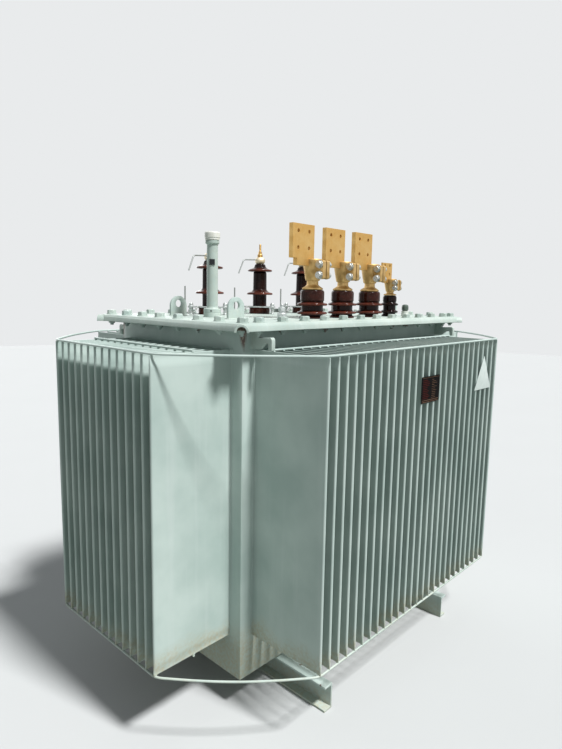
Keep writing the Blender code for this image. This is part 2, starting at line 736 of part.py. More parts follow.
def hv_terminal(name, x, turn):
    """A rounded brass nut under a tapered nut and stud, with the upper arcing horn through it."""
    nut_shares = [(0.70, 1.00), (0.98, 0.72), (0.98, 0.30), (0.70, 0.00)]
    shoulder = HV_NUT_HEIGHT + HV_TAPER_HEIGHT
    profile = [(0.0, shoulder + HV_STUD_HEIGHT), (HV_STUD_RADIUS, shoulder + HV_STUD_HEIGHT)]
    profile += [(HV_STUD_RADIUS, shoulder), (HV_TAPER_TOP_RADIUS, shoulder), (HV_TAPER_RADIUS, HV_NUT_HEIGHT)]
    profile += [(HV_NUT_RADIUS * r, HV_NUT_HEIGHT * h) for r, h in nut_shares]
    profile += [(0.0, 0.0)]
    terminal = as_mesh(turned(name, profile, BRASS, FINE_TURN_STEPS), PARTS)
    elbow = HORN_RISE - HORN_DROOP
    points = [
        (0.0, 0.0, HORN_RISE), (-HORN_ARM, 0.0, elbow), (-HORN_ARM - HORN_TIP_OUT, 0.0, elbow - HORN_TIP_DROP),
    ]
    horn = as_mesh(bent_rod(name + "_horn", points, HORN_RADIUS, GALVANISED), TOOLS)
    hide_tool(horn)
    join(terminal, horn)
    stand = Matrix.Translation((x, HV_Y, ON_COVER + HV_HEIGHT + SEAT)) @ Matrix.Rotation(turn, 4, "Z")
    terminal.matrix_world = stand
    horn.matrix_world = stand


def hv_press_plate(name, x, turn):
    """A three-cornered plate that clamps the porcelain's shoulder, with its studs and lower horn."""
    edge = []
    studs = []
    for number in range(HV_PRESS_STUDS):
        angle = -pi / 2 + 2 * pi * number / HV_PRESS_STUDS
        centre = (HV_PRESS_REACH * cos(angle), HV_PRESS_REACH * sin(angle))
        studs.append(centre)
        edge += arc(centre, HV_PRESS_ROUND, angle - pi / 3, angle + pi / 3, ARC_STEPS // 2)
    hole = circle((0.0, 0.0), HV_NECK_RADIUS + SEAT, TURN_STEPS)
    under = HV_SHOULDER_HEIGHT + SEAT
    arm = under + HV_PRESS_PLATE / 2
    plate = as_mesh(flat_plate(name, [edge, hole], HV_PRESS_PLATE, GALVANISED), PARTS)
    plate.data.transform(Matrix.Translation((0.0, 0.0, arm)))
    nut_top = under + HV_PRESS_PLATE + HV_CAP_NUT_HEIGHT
    nut_profile = [
        (0.0, nut_top), (HV_CAP_NUT_RADIUS / 2, nut_top),
        (HV_CAP_NUT_RADIUS, nut_top - HV_CAP_NUT_RADIUS / 2), (HV_CAP_NUT_RADIUS, arm),
        (HV_PRESS_STUD_RADIUS, arm), (HV_PRESS_STUD_RADIUS, 0.0), (0.0, 0.0),
    ]
    helpers = []
    for number, (sx, sy) in enumerate(studs):
        stud = as_mesh(turned(f"{name}_stud_{number}", nut_profile, GALVANISED, HV_PRESS_STUD_STEPS), TOOLS)
        stud.data.transform(Matrix.Translation((sx, sy, 0.0)))
        helpers.append(stud)
    start = HV_NECK_RADIUS + HV_PRESS_ROUND
    points = [
        (-start, 0.0, arm), (-HV_PRESS_REACH, 0.0, arm),
        (-HV_PRESS_REACH - HV_PRESS_ROUND, 0.0, HORN_LOWER_BASE),
        (-HORN_LOWER_REACH, 0.0, HORN_LOWER_BASE), (-HORN_LOWER_REACH, 0.0, HORN_LOWER_TOP),
    ]
    helpers.append(as_mesh(bent_rod(name + "_horn", points, HORN_RADIUS, GALVANISED), TOOLS))
    stand = Matrix.Translation((x, HV_Y, ON_COVER)) @ Matrix.Rotation(turn, 4, "Z")
    for helper in helpers:
        hide_tool(helper)
        helper.matrix_world = stand
        join(plate, helper)
    plate.matrix_world = stand


def lv_porcelain(name, x, height, share):
    """A squat porcelain with two thin sheds; the share sets its radii."""
    thickness = LV_SHED_THICKNESS
    waist = LV_WAIST_RADIUS * share
    outer = LV_SHED_RADIUS * share
    top = LV_TOP_RADIUS * share
    base = LV_BASE_RADIUS * share
    round_edge = thickness / 4
    profile = [
        (0.0, height), (top - round_edge, height),
        (top, height - round_edge), (top, LV_TOP_BOTTOM),
        *shed(LV_SHED_HEIGHT + thickness / 2, waist, outer, thickness),
        *shed(LV_FOOT_SHED_HEIGHT + thickness / 2, waist, outer, thickness),
        (base, LV_FOOT_SHED_HEIGHT - thickness), (base, 0.0), (0.0, 0.0),
    ]
    body = turned(name, profile, PORCELAIN)
    body.location = (x, LV_Y, ON_COVER)


def lv_terminal(name, place_at, neck_height, clamp_height, share, flag_size, shift, hole_spacing):
    """A split brass clamp on the bushing stem, carrying an upright flag with four bolt holes."""
    bottom = neck_height
    top = bottom + clamp_height
    width, height, thickness = flag_size
    right, left = shift, shift - width
    bridge_left = right - width * FLAG_BRIDGE_SHARE
    bridge_bottom = top - FLAG_BRIDGE_DROP * share
    edge = [
        (right, bridge_bottom), (right, top + height), (left, top + height), (left, top),
        (bridge_left, top), (bridge_left, bridge_bottom),
    ]
    reach = hole_spacing / 2
    centre = ((left + right) / 2, top + height / 2 + FLAG_HOLE_RISE * share)
    holes = [
        circle((centre[0] + sx * reach, centre[1] + sz * reach), FLAG_HOLE_RADIUS, FINE_TURN_STEPS)
        for sx in (-1, 1) for sz in (-1, 1)
    ]
    flag = as_mesh(flat_plate(name, [edge, *holes], thickness, BRASS), PARTS)
    flag.data.transform(Matrix.Rotation(pi / 2, 4, "X"))
    barrel = [
        (0.0, top + SEAT), (CLAMP_TOP_RADIUS * share, top + SEAT), (CLAMP_BOTTOM_RADIUS * share, bottom),
        (CLAMP_NECK_RADIUS * share, bottom), (CLAMP_NECK_RADIUS * share, bottom * CLAMP_COLLAR_SHARE),
        (CLAMP_COLLAR_RADIUS * share, CLAMP_COLLAR_EDGE * share), (CLAMP_COLLAR_RADIUS * share, 0.0), (0.0, 0.0),
    ]
    barrel_mesh = as_mesh(turned(name + "_barrel", barrel, BRASS), TOOLS)
    ear = CLAMP_EAR_WIDTH * share / 2
    ear_low, ear_high = bottom + CLAMP_EAR_MARGIN, top - CLAMP_EAR_MARGIN
    ear_reach = CLAMP_EAR_REACH * share
    slit = CLAMP_SLIT / 2
    ears = box_mesh("ears", (-ear, -ear_reach, ear_low), (ear, 0.0, ear_high))
    gap = box_mesh(
        "slit", (-slit, -ear_reach - OVERRUN, bottom + OVERRUN),
        (slit, -CLAMP_BORE_RADIUS * share, top + OVERRUN)
    )
    steps = [
        (barrel_mesh, "UNION"),
        (tool(name + "_ears", ears), "UNION"),
        (tool(name + "_slit", gap), "DIFFERENCE"),
    ]
    for helper, operation in steps:
        hide_tool(helper)
        helper.location = place_at
        combine(flag, helper, operation)
    flag.location = place_at


def cover_fitting(name, x, y, nut):
    """A screwed fitting with a stepped foot and a domed nut of the given radius."""
    foot, height = FITTING_FOOT_RADIUS, FITTING_HEIGHT
    dome_share, nut_share, waist_share, foot_share = 0.86, 0.55, 0.50, 0.45
    waist = nut * (1 - dome_share / 4)
    profile = [
        (0.0, height), (nut / 2, height), (nut, height * dome_share), (nut, height * nut_share),
        (waist, height * waist_share), (foot, height * foot_share), (foot, 0.0), (0.0, 0.0),
    ]
    fitting = turned(name, profile, GALVANISED, FINE_TURN_STEPS)
    fitting.location = (x, y, ON_COVER)


def front_plates():
    """Two thin plates fixed to the tips of the front fins."""
    stand = Matrix.Rotation(pi / 2, 4, "X")
    face = -TIP_Y - SEAT - PLATE_THICKNESS / 2
    half = NAMEPLATE_WIDTH / 2
    rectangle = [(-half, 0.0), (half, 0.0), (half, NAMEPLATE_HEIGHT), (-half, NAMEPLATE_HEIGHT)]
    nameplate = flat_plate("nameplate", [rectangle], PLATE_THICKNESS, DARK_PLATE)
    nameplate.matrix_world = Matrix.Translation((NAMEPLATE_X, face, FIN_TOP - NAMEPLATE_DROP)) @ stand
    half = TRIANGLE_WIDTH / 2
    triangle = [(-half, 0.0), (half, 0.0), (0.0, TRIANGLE_HEIGHT)]
    sign = flat_plate("triangle_plate", [triangle], PLATE_THICKNESS, WHITE_PLATE)
    sign.matrix_world = Matrix.Translation((TRIANGLE_X, face, FIN_TOP - TRIANGLE_DROP)) @ stand


clear_scene()
PARTS = make_collection("power_transformer")
TOOLS = make_collection("cutting_and_joining_tools")

skid_channel("skid_left", -1)
skid_channel("skid_right", 1)
tank_body()
corrugated_walls()
ring_rods()
tie_bars()
tank_flange()
gasket()
cover()
cover_lugs()
tank_hooks()
filler_tube()

for hv_number in range(HV_PHASES):
    hv_x = HV_OFFSET + (hv_number - (HV_PHASES - 1) / 2) * HV_SPACING
    horn_turn = 0.0 if hv_number else FIRST_HORN_TURN
    hv_porcelain(f"hv_bushing_{hv_number + 1}", hv_x, horn_turn)
    hv_terminal(f"hv_terminal_{hv_number + 1}", hv_x, horn_turn)
    hv_press_plate(f"hv_press_plate_{hv_number + 1}", hv_x, horn_turn)

for lv_number in range(LV_PHASES):
    lv_x = (lv_number - (LV_PHASES - 1) / 2) * LV_SPACING
    lv_porcelain(f"lv_bushing_{lv_number + 1}", lv_x, LV_HEIGHT, 1.0)
    lv_terminal(
        f"lv_terminal_{lv_number + 1}", (lv_x, LV_Y, ON_COVER + LV_HEIGHT + SEAT),
        CLAMP_NECK_HEIGHT, CLAMP_HEIGHT, 1.0,
        (FLAG_WIDTH, FLAG_HEIGHT, FLAG_THICKNESS), FLAG_SHIFT, FLAG_HOLE_SPACING
    )
lv_porcelain("neutral_bushing", NEUTRAL_X, NEUTRAL_HEIGHT, NEUTRAL_RADIUS_SHARE)
lv_terminal(
    "neutral_terminal", (NEUTRAL_X, LV_Y, ON_COVER + NEUTRAL_HEIGHT + SEAT),
    NEUTRAL_NECK_HEIGHT, NEUTRAL_CLAMP_HEIGHT, NEUTRAL_CLAMP_SHARE,
    (NEUTRAL_FLAG_WIDTH, NEUTRAL_FLAG_HEIGHT, NEUTRAL_FLAG_THICKNESS),
    NEUTRAL_FLAG_SHIFT, NEUTRAL_HOLE_SPACING
)

cover_fitting("thermometer_pocket", POCKET_X, POCKET_Y, POCKET_NUT_RADIUS)
cover_fitting("vent_plug", PLUG_X, PLUG_Y, PLUG_NUT_RADIUS)
front_plates()
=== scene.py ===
# %% [markdown]
# # An oil-filled transformer, dressed over its CAD solids
# The solids already give every size and place of this sealed power transformer. This lesson
# loads them as a fixed frame, gives each one a real finish, and swaps the ones whose surface
# needs finer shapes, such as folded fins, turned porcelain and cast clamps, for detailed pieces.
# Everything is in metres, with the low-voltage terminals in front, at -Y.

# %% Load the frame
import math
import random
from functools import partial

import bmesh
import bpy
from mathutils import Matrix, Vector, noise


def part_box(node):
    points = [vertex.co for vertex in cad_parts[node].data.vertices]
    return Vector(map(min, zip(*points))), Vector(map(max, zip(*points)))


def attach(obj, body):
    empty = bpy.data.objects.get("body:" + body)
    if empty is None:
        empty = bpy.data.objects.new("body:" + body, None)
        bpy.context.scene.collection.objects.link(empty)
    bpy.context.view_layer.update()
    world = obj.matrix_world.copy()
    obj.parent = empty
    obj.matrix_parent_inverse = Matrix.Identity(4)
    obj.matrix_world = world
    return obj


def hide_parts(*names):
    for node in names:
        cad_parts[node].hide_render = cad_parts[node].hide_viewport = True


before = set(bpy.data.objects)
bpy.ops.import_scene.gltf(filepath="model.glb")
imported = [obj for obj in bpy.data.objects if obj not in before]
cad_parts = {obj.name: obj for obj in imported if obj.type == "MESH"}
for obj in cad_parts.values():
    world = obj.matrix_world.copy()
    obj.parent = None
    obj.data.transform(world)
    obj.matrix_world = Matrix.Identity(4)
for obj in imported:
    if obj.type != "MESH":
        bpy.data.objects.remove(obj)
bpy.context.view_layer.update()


# %% [markdown]
# ## Sizes that the pieces share
# The frame can be measured, so most sizes are read from it. The fin pitch and the like are
# facts of how such a tank is made, and are written down once here, in metres.

# %% Sizes
GAP = 0.0003
FIN_PITCH = 0.045
FIN_DEPTH = 0.308
FIN_THICKNESS = 0.011
FIN_TAPER = 0.040
LONG_FINS = 27
SHORT_FINS = 14
TANK_X = 0.645
TANK_Y = 0.3525
ROD_RADIUS = 0.004
WALL_LOW, WALL_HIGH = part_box("fin_wall_front")
FIN_BOTTOM, FIN_TOP = WALL_LOW.z, WALL_HIGH.z
COVER_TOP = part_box("cover")[1].z
FLANGE_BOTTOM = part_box("tank_flange")[0].z
print(f"fins from {FIN_BOTTOM:.4f} to {FIN_TOP:.4f}, cover top {COVER_TOP:.4f}")

# %% [markdown]
# ## Colours and nodes
# Paint makers and photographs give colours as sRGB hex values, but a shader works in linear
# light, so one function turns one into the other. Another adds a node and gives back its
# output, so that a material reads from top to bottom like a recipe. Most finishes are two
# colours that meet in soft clouds, which takes the same three nodes each time.

# %% Helpers for materials
def linear(hex_colour):
    """The linear colour, with alpha 1, of an sRGB hex value."""
    shares = [int(hex_colour[i:i + 2], 16) / 255 for i in (1, 3, 5)]
    bent = [s / 12.92 if s <= 0.04045 else ((s + 0.055) / 1.055) ** 2.4 for s in shares]
    return (*bent, 1.0)


def put(thing, **settings):
    """Sets the named settings of a thing, and gives the thing back."""
    for name, value in settings.items():
        setattr(thing, name, value)
    return thing


def fill(tree, sockets):
    """Gives each socket its value or hex colour, or a link to the output of another node."""
    for socket, value in sockets:
        if isinstance(value, bpy.types.NodeSocket):
            tree.links.new(value, socket)
        else:
            is_colour = isinstance(value, str) and value.startswith("#")
            socket.default_value = linear(value) if is_colour else value


def add(tree, kind, *values, out=None, **named):
    """Adds one node and gives back its first output, or the one that out names. Names in small
    letters are the node's settings. Plain values fill its sockets in order, and capitalised
    names fill them by name."""
    made = put(tree.nodes.new(kind if "Node" in kind else "ShaderNode" + kind),
               **{name: value for name, value in named.items() if name.islower()})
    fill(tree, zip([socket for socket in made.inputs if socket.enabled], values))
    fill(tree, [(made.inputs[name], value) for name, value in named.items() if not name.islower()])
    outputs = [socket for socket in made.outputs if socket.enabled and out in (None, socket.name)]
    return outputs[0] if outputs else None


def start_material(name):
    """A new material, what adds a node to it, and the output that tells a point's place."""
    material = bpy.data.materials.new(name)
    material.use_nodes = True
    node = partial(add, material.node_tree)
    return material, node, node("TexCoord", out="Object")


def clouded(node, where, scale, detail, low, high, first, second, most=1.0):
    """Noise between low and high as the share of the second colour, and the mixed colour."""
    cloud = node("TexNoise", Vector=where, Scale=scale, Detail=detail)
    share = node("MapRange", cloud, low, high, 0.0, most)
    return share, node("Mix", share, first, second, data_type="RGBA")


def finish_material(material, **sockets):
    """Sets sockets of the material's own shader to plain values, or links them to outputs."""
    tree = material.node_tree
    inputs = tree.nodes["Principled BSDF"].inputs
    fill(tree, [(inputs[name.replace("_", " ")], value) for name, value in sockets.items()])
    return material


# %% [markdown]
# ## Tank paint
# The tank is mild steel sprayed with a satin grey-green industrial paint. What the eye sees is
# an even pale colour with soft patches from uneven film, pale runs where rain washed dust down,
# tan dust where splashes reach the lowest part of the fins, a faint orange peel about 3 mm
# wide, and a few chips down to brown primer and rust.

# %% Painted steel
PAINT_THIN, PAINT_THICK = "#a9bab4", "#bdcbc5"
ROAD_DUST, RAIN_CHALK = "#b3a482", "#c8d1ce"
PRIMER_RUST, CRUST = "#5a3d2d", "#a8a090"
SPLASH_REACH = 0.16
CORNER_RUST_WIDE = 0.026
CORNER_RUST_FROM, CORNER_RUST_TO = FLANGE_BOTTOM - 0.095, FLANGE_BOTTOM - 0.010


def painted_steel(name, dust_from=0.0, dust_to=0.0, dust=0.0, streaks=0.25, chips_and_shade=0.0,
                  rust_corners=False):
    """Satin paint; dust fades out upwards from dust_from to dust_to."""
    material, node, where = start_material(name)
    height = node("SeparateXYZ", where, out="Z")
    patches = node("TexNoise", Vector=where, Scale=5.0, Detail=4.0)
    film = node("MapRange", patches, 0.35, 0.65)
    colour = node("Mix", film, PAINT_THIN, PAINT_THICK, data_type="RGBA")
    roughness = node("MapRange", patches, 0.3, 0.7, 0.36, 0.50)
    drawn_out = node("Mapping", Vector=where, Scale=(38.0, 38.0, 1.6))
    _, colour = clouded(node, drawn_out, 1.0, 5.0, 0.52, 0.75, colour, RAIN_CHALK, streaks)
    if dust:
        # Splashes reach up to different heights, and what they leave is cloddy and dull
        splashes = node("TexNoise", Vector=where, Scale=9.0, Detail=7.0)
        wander = node("Math", splashes, SPLASH_REACH, height, operation="MULTIPLY_ADD")
        fade = node("MapRange", wander, dust_from + SPLASH_REACH / 2, dust_to + SPLASH_REACH / 2,
                    dust, 0.0, interpolation_type="SMOOTHSTEP")
        speckle = node("TexNoise", Vector=where, Scale=90.0, Detail=6.0)
        clods = node("MapRange", speckle, 0.35, 0.65, 0.25, 1.0)
        amount = node("Math", fade, clods, operation="MULTIPLY")
        colour = node("Mix", amount, colour, ROAD_DUST, data_type="RGBA")
        roughness = node("Math", roughness, amount, operation="ADD", use_clamp=True)
    if chips_and_shade:
        edge = 0.75 - chips_and_shade
        _, colour = clouded(node, where, 26.0, 8.0, edge - 0.01, edge + 0.01, colour, PRIMER_RUST,
                            0.85)
    if rust_corners:
        # Rain gets in at the four corner arches and leaves rust and a pale crust below them
        zone = node("MapRange", height, CORNER_RUST_FROM, CORNER_RUST_TO)
        for axis, edge in (("X", TANK_X), ("Y", TANK_Y)):
            away = node("Math", node("SeparateXYZ", where, out=axis), operation="ABSOLUTE")
            near = node("MapRange", away, edge - CORNER_RUST_WIDE, edge)
            zone = node("Math", zone, near, operation="MULTIPLY")
        ragged = node("TexNoise", Vector=drawn_out, Scale=2.6, Detail=8.0)
        bite = node("Math", zone, ragged, operation="ADD")
        rust = node("MapRange", bite, 0.86, 1.12, 0.0, 0.9)
        _, crust = clouded(node, where, 140.0, 4.0, 0.50, 0.64, PRIMER_RUST, CRUST, 0.8)
        colour = node("Mix", rust, colour, crust, data_type="RGBA")
    peel = node("TexNoise", Vector=where, Scale=330.0, Detail=2.0)
    bump = node("Bump", Strength=0.12, Distance=0.0006, Height=peel)
    return finish_material(material, Base_Color=colour, Roughness=roughness, Normal=bump)


fin_paint = painted_steel("satin_painted_fin_steel", FIN_BOTTOM, FIN_BOTTOM + 0.085, dust=0.60,
                          streaks=0.35)
tank_paint = painted_steel("satin_painted_tank_steel", FIN_BOTTOM - 0.05, FIN_BOTTOM + 0.05,
                           dust=0.60, rust_corners=True)
# The flange nuts' heavy chips are partly real rust and partly painted shade, darkening them as the
# shade under the flange does.
nut_paint_rust_and_shade = painted_steel("satin_painted_flange_nuts_rust_and_shade", chips_and_shade=0.20)
cover_paint = painted_steel("satin_painted_cover_steel", COVER_TOP + 0.02, COVER_TOP + 0.04,
                            dust=0.12, streaks=0.45)
trim_paint = painted_steel("satin_painted_rods", FIN_BOTTOM - 0.02, FIN_BOTTOM + 0.06, dust=0.3)
skid_paint = painted_steel("satin_painted_skid_steel", 0.0, 0.09, dust=0.5, chips_and_shade=0.03)
print("painted finishes:", [m.name for m in bpy.data.materials if m.name.startswith("satin")])

# %% [markdown]
# ## Glazed porcelain
# The bushings are electrical porcelain, turned, dipped in a brown iron glaze and fired. The
# glaze pools dark in the hollows and thins to red-brown on the shed edges. It stays glassy, so
# its highlights are sharp, except where fine dust has settled.

# %% Brown glaze
GLAZE_DEEP, GLAZE_THIN, GLAZE_DUST = "#150504", "#6c3527", "#9b8d80"
MOST_DUST = 0.10


def glazed_porcelain(name, core_radius, shed_radius):
    """Brown glaze that is thin and red where the radius nears the shed's edge."""
    material, node, where = start_material(name)
    level = node("VectorMath", where, (1.0, 1.0, 0.0), operation="MULTIPLY")
    radius = node("VectorMath", level, operation="LENGTH")
    flow = node("TexNoise", Vector=where, Scale=45.0, Detail=4.0)
    edge = node("MapRange", radius, core_radius, shed_radius, 0.0, 0.8)
    patchy = node("MapRange", flow, 0.3, 0.7, 0.4, 1.2)
    thin = node("Math", edge, patchy, operation="MULTIPLY", use_clamp=True)
    colour = node("Mix", thin, GLAZE_DEEP, GLAZE_THIN, data_type="RGBA")
    dusty, dusted = clouded(node, where, 130.0, 6.0, 0.55, 0.8, colour, GLAZE_DUST, MOST_DUST)
    gloss = node("MapRange", dusty, 0.0, MOST_DUST, 0.10, 0.36)
    ripple = node("Bump", Strength=0.08, Distance=0.001, Height=flow)
    return finish_material(material, Base_Color=dusted, Roughness=gloss, Normal=ripple, IOR=1.52,
                           Specular_IOR_Level=0.16)


hv_glaze = glazed_porcelain("glazed_high_voltage_porcelain", 0.030, 0.060)
lv_glaze = glazed_porcelain("glazed_low_voltage_porcelain", 0.040, 0.060)
print("glazes from", GLAZE_DEEP, "in the hollows to", GLAZE_THIN, "on the edges")

# %% [markdown]
# ## Brass
# The clamps are sand-cast brass and the flags are sawn from rolled plate. A metal's colour is
# its reflection, so the base colour is the brass itself and the roughness tells cast skin from
# rolled plate. Fingerprints and air tarnish it to a duller brown in cloudy patches.

# %% Brass finishes
BRUSHED = (1.0, 1.0, 0.04)


def tarnished_brass(name, bright, dull, smooth, rough, grain_scale, grain_strength,
                    stretch=(1.0, 1.0, 1.0)):
    """Brass between a bright and a dull colour; the grain is cast sand or vertical brushing."""
    material, node, where = start_material(name)
    tarnish, colour = clouded(node, where, 28.0, 5.0, 0.35, 0.7, bright, dull)
    gloss = node("MapRange", tarnish, 0.0, 1.0, smooth, rough)
    drawn = node("Mapping", Vector=where, Scale=stretch)
    grain = node("TexNoise", Vector=drawn, Scale=grain_scale, Detail=3.0)
    bump = node("Bump", Strength=grain_strength, Distance=0.0004, Height=grain)
    return finish_material(material, Base_Color=colour, Roughness=gloss, Normal=bump, Metallic=1.0)


rolled_brass = tarnished_brass("rolled_brass_plate", "#d8b474", "#c79f5c", 0.50, 0.62, 700.0,
                               0.20, BRUSHED)
cast_brass = tarnished_brass("sand_cast_brass", "#d2b27a", "#a48755", 0.50, 0.66, 420.0, 0.45)
turned_brass = tarnished_brass("turned_brass", "#c9a468", "#8f7040", 0.34, 0.50, 800.0, 0.15)
tinned_brass = tarnished_brass("tinned_brass_ball", "#e6dcc4", "#c9b896", 0.55, 0.70, 500.0, 0.20)
print("brass finishes:", [m.name for m in bpy.data.materials if "brass" in m.name])

# %% [markdown]
# ## Zinc-coated steel
# Bolts are electroplated, which looks bright and slightly blue. Clamp plates are dipped in
# molten zinc, which freezes in crystals about 8 mm wide, and the drawn rods of the horns have
# weathered to a darker grey. Air gives zinc a thin skin of carbonate that is no metal, so these
# finishes are not metallic all the way.

# %% Zinc finishes
def zinc_coated(name, bright, dull, smooth, rough, crystal_scale):
    """Steel under zinc; each crystal has its own tone and gloss."""
    material, node, where = start_material(name)
    crystals = node("TexVoronoi", Vector=where, Scale=crystal_scale, out="Color")
    tone = node("SeparateColor", crystals)
    stains = node("TexNoise", Vector=where, Scale=60.0, Detail=6.0)
    blend = node("Math", tone, stains, operation="MULTIPLY")
    share = node("MapRange", blend, 0.05, 0.5)
    colour = node("Mix", share, bright, dull, data_type="RGBA")
    gloss = node("MapRange", share, 0.0, 1.0, smooth, rough)
    return finish_material(material, Base_Color=colour, Roughness=gloss, Metallic=0.8)


plated_zinc = zinc_coated("electroplated_zinc_bolt_steel", "#cfd2d0", "#a9aaa4", 0.34, 0.52, 300.0)
dipped_zinc = zinc_coated("hot_dip_galvanised_steel", "#ccd0cf", "#a4a9a8", 0.46, 0.64, 125.0)
drawn_zinc = zinc_coated("galvanised_drawn_rod", "#a6aaa8", "#878b89", 0.50, 0.66, 900.0)
print("zinc finishes:", plated_zinc.name, dipped_zinc.name, drawn_zinc.name)

# %% [markdown]
# ## Rubber, plastic and glass
# The gasket is oil-resistant cork rubber, matt and speckled with cork grains of 1 to 2 mm. The
# filler cap is moulded cream plastic with a faint grain. The level window is thick glass that
# looks dark because the oil tube behind it is dark.

# %% Gasket, cap and window
def cork_rubber(name):
    """Matt rubber, dark between its cork grains and brown on them."""
    material, node, where = start_material(name)
    grains = node("TexVoronoi", Vector=where, Scale=550.0)
    share = node("MapRange", grains, 0.1, 0.6)
    colour = node("Mix", share, "#3a332c", "#1d1b1a", data_type="RGBA")
    bump = node("Bump", Strength=0.3, Distance=0.0004, Height=grains)
    return finish_material(material, Base_Color=colour, Roughness=0.85, Normal=bump)


def moulded_plastic(name, colour_a, colour_b, roughness, shine=0.5):
    """A smooth skin that drifts between two near colours, with a grain too fine to see singly."""
    material, node, where = start_material(name)
    _, colour = clouded(node, where, 70.0, 6.0, 0.4, 0.75, colour_a, colour_b)
    grain = node("TexNoise", Vector=where, Scale=900.0)
    bump = node("Bump", Strength=0.1, Distance=0.0003, Height=grain)
    return finish_material(material, Base_Color=colour, Roughness=roughness, Normal=bump, IOR=1.46,
                           Specular_IOR_Level=shine)


gasket_rubber = cork_rubber("cork_rubber_gasket")
cap_plastic = moulded_plastic("moulded_cream_plastic", "#e2e2db", "#d6d5cb", 0.42)
fitting_plastic = moulded_plastic("moulded_dark_green_plastic", "#46534b", "#5d6a60", 0.38)
ring_plastic = moulded_plastic("moulded_white_plastic", "#dcdfd8", "#bfc4bb", 0.45)
window_glass = moulded_plastic("dark_level_window_glass", "#0f1418", "#1b2226", 0.08)
print("finishes so far:", len(bpy.data.materials))

# %% [markdown]
# ## Building and mounting a piece
# Fins, weld beads, hexagons and turned parts are all lofts: faces run from one closed section to
# the next. A finished mesh is mounted under its own name, with its finish, the body it rides on
# and the solid it stands for.

# %% Lofts and mounting
MODEL = bpy.data.collections.new("dressed_pieces")
bpy.context.scene.collection.children.link(MODEL)
SHARP_ANGLE = math.radians(38)


def finished_mesh(bm):
    """Writes a bmesh out with faces turned outwards and smooth shading up to a sharp angle."""
    bmesh.ops.recalc_face_normals(bm, faces=bm.faces)
    mesh = bpy.data.meshes.new("shape")
    bm.to_mesh(mesh)
    bm.free()
    mesh.shade_smooth()
    mesh.set_sharp_from_angle(angle=SHARP_ANGLE)
    return mesh


def lofted_mesh(sections):
    """Faces from each closed section to the next and over both ends; one point makes a tip."""
    bm = bmesh.new()
    rings = [[bm.verts.new(point) for point in section] for section in sections]
    for lower, upper in zip(rings, rings[1:]):
        for i in range(max(len(lower), len(upper))):
            corners = [lower[i % len(lower)], lower[(i + 1) % len(lower)],
                       upper[(i + 1) % len(upper)], upper[i % len(upper)]]
            corners = list(dict.fromkeys(corners))
            if len(corners) > 2:
                bm.faces.new(corners)
    for end in (rings[0][::-1], rings[-1]):
        if len(end) > 2:
            bm.faces.new(end)
    return finished_mesh(bm)


def mount_piece(name, mesh, material, at=None, stands_for=None):
    """Puts a finished mesh on the transformer as one named piece."""
    mesh.name = name
    piece = bpy.data.objects.new(name, mesh)
    mesh.materials.clear()
    mesh.materials.append(material)
    MODEL.objects.link(piece)
    if at is not None:
        piece.matrix_world = at
    put(piece.modifiers.new("keep_flats_flat", "WEIGHTED_NORMAL"), keep_sharp=True)
    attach(piece, "root")
    if stands_for:
        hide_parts(stands_for)


def moved(x, y, z):
    """The matrix of a move."""
    return Matrix.Translation((x, y, z))


def spun(angle, axis="Z"):
    """The matrix of a turn about one axis."""
    return Matrix.Rotation(angle, 4, axis)


def uneven(x, y, z):
    """A number from -1 to 1 that changes gently from place to place."""
    return noise.noise(Vector((x, y, z)))


# %% [markdown]
# ## Corrugated walls
# A fin is one fold of sheet steel: two flat flanks, a round fold at the tip and a small bend at
# the root. At its top and bottom the two flanks are pressed together over 40 mm and welded, so
# the fin pinches to a thin edge with a small bead. Rolled sheet is never quite flat, so the
# flanks bulge and lean by up to a millimetre, which is what breaks up the reflections. Each
# wall is lofted through levels of one folded outline.

# %% Fin walls
FIN_HEIGHT = FIN_TOP - FIN_BOTTOM
SEAM_HALF = 0.0021
SEAM_SHARE = 0.12
ROOT_BEND = 0.004
WALL_LIP = 0.004
WALL_SHEET = 0.004
MOST_LEAN, MOST_BULGE = 0.0016, 0.0009


def fin_half(height):
    """Half the fin's thickness at a height above its bottom edge."""
    run = min(height, FIN_HEIGHT - height) / FIN_TAPER
    if run < SEAM_SHARE:
        return SEAM_HALF * (1.25 if run > 0.03 else 0.9)
    share = min(1.0, (run - SEAM_SHARE) / (1 - SEAM_SHARE))
    share = share * share * (3 - 2 * share)
    return SEAM_HALF + (FIN_THICKNESS / 2 - SEAM_HALF) * share


def fold_outline(half):
    """One fin's fold from root to root, with its tip towards +Y."""
    bend = min(ROOT_BEND, (FIN_PITCH - 2 * half) / 3)
    flank = []
    for turn in [math.pi / 2 * i / 3 for i in range(4)]:
        flank.append((half + bend * (1 - math.sin(turn)), bend * (1 - math.cos(turn))))
    flank += [(half, FIN_DEPTH * share) for share in (0.2, 0.45, 0.7, 0.9)]
    for turn in [math.pi * i / 12 for i in range(7)]:
        flank.append((half * math.cos(turn), FIN_DEPTH - half + half * math.sin(turn)))
    return [(-x, y) for x, y in flank] + flank[-2::-1]


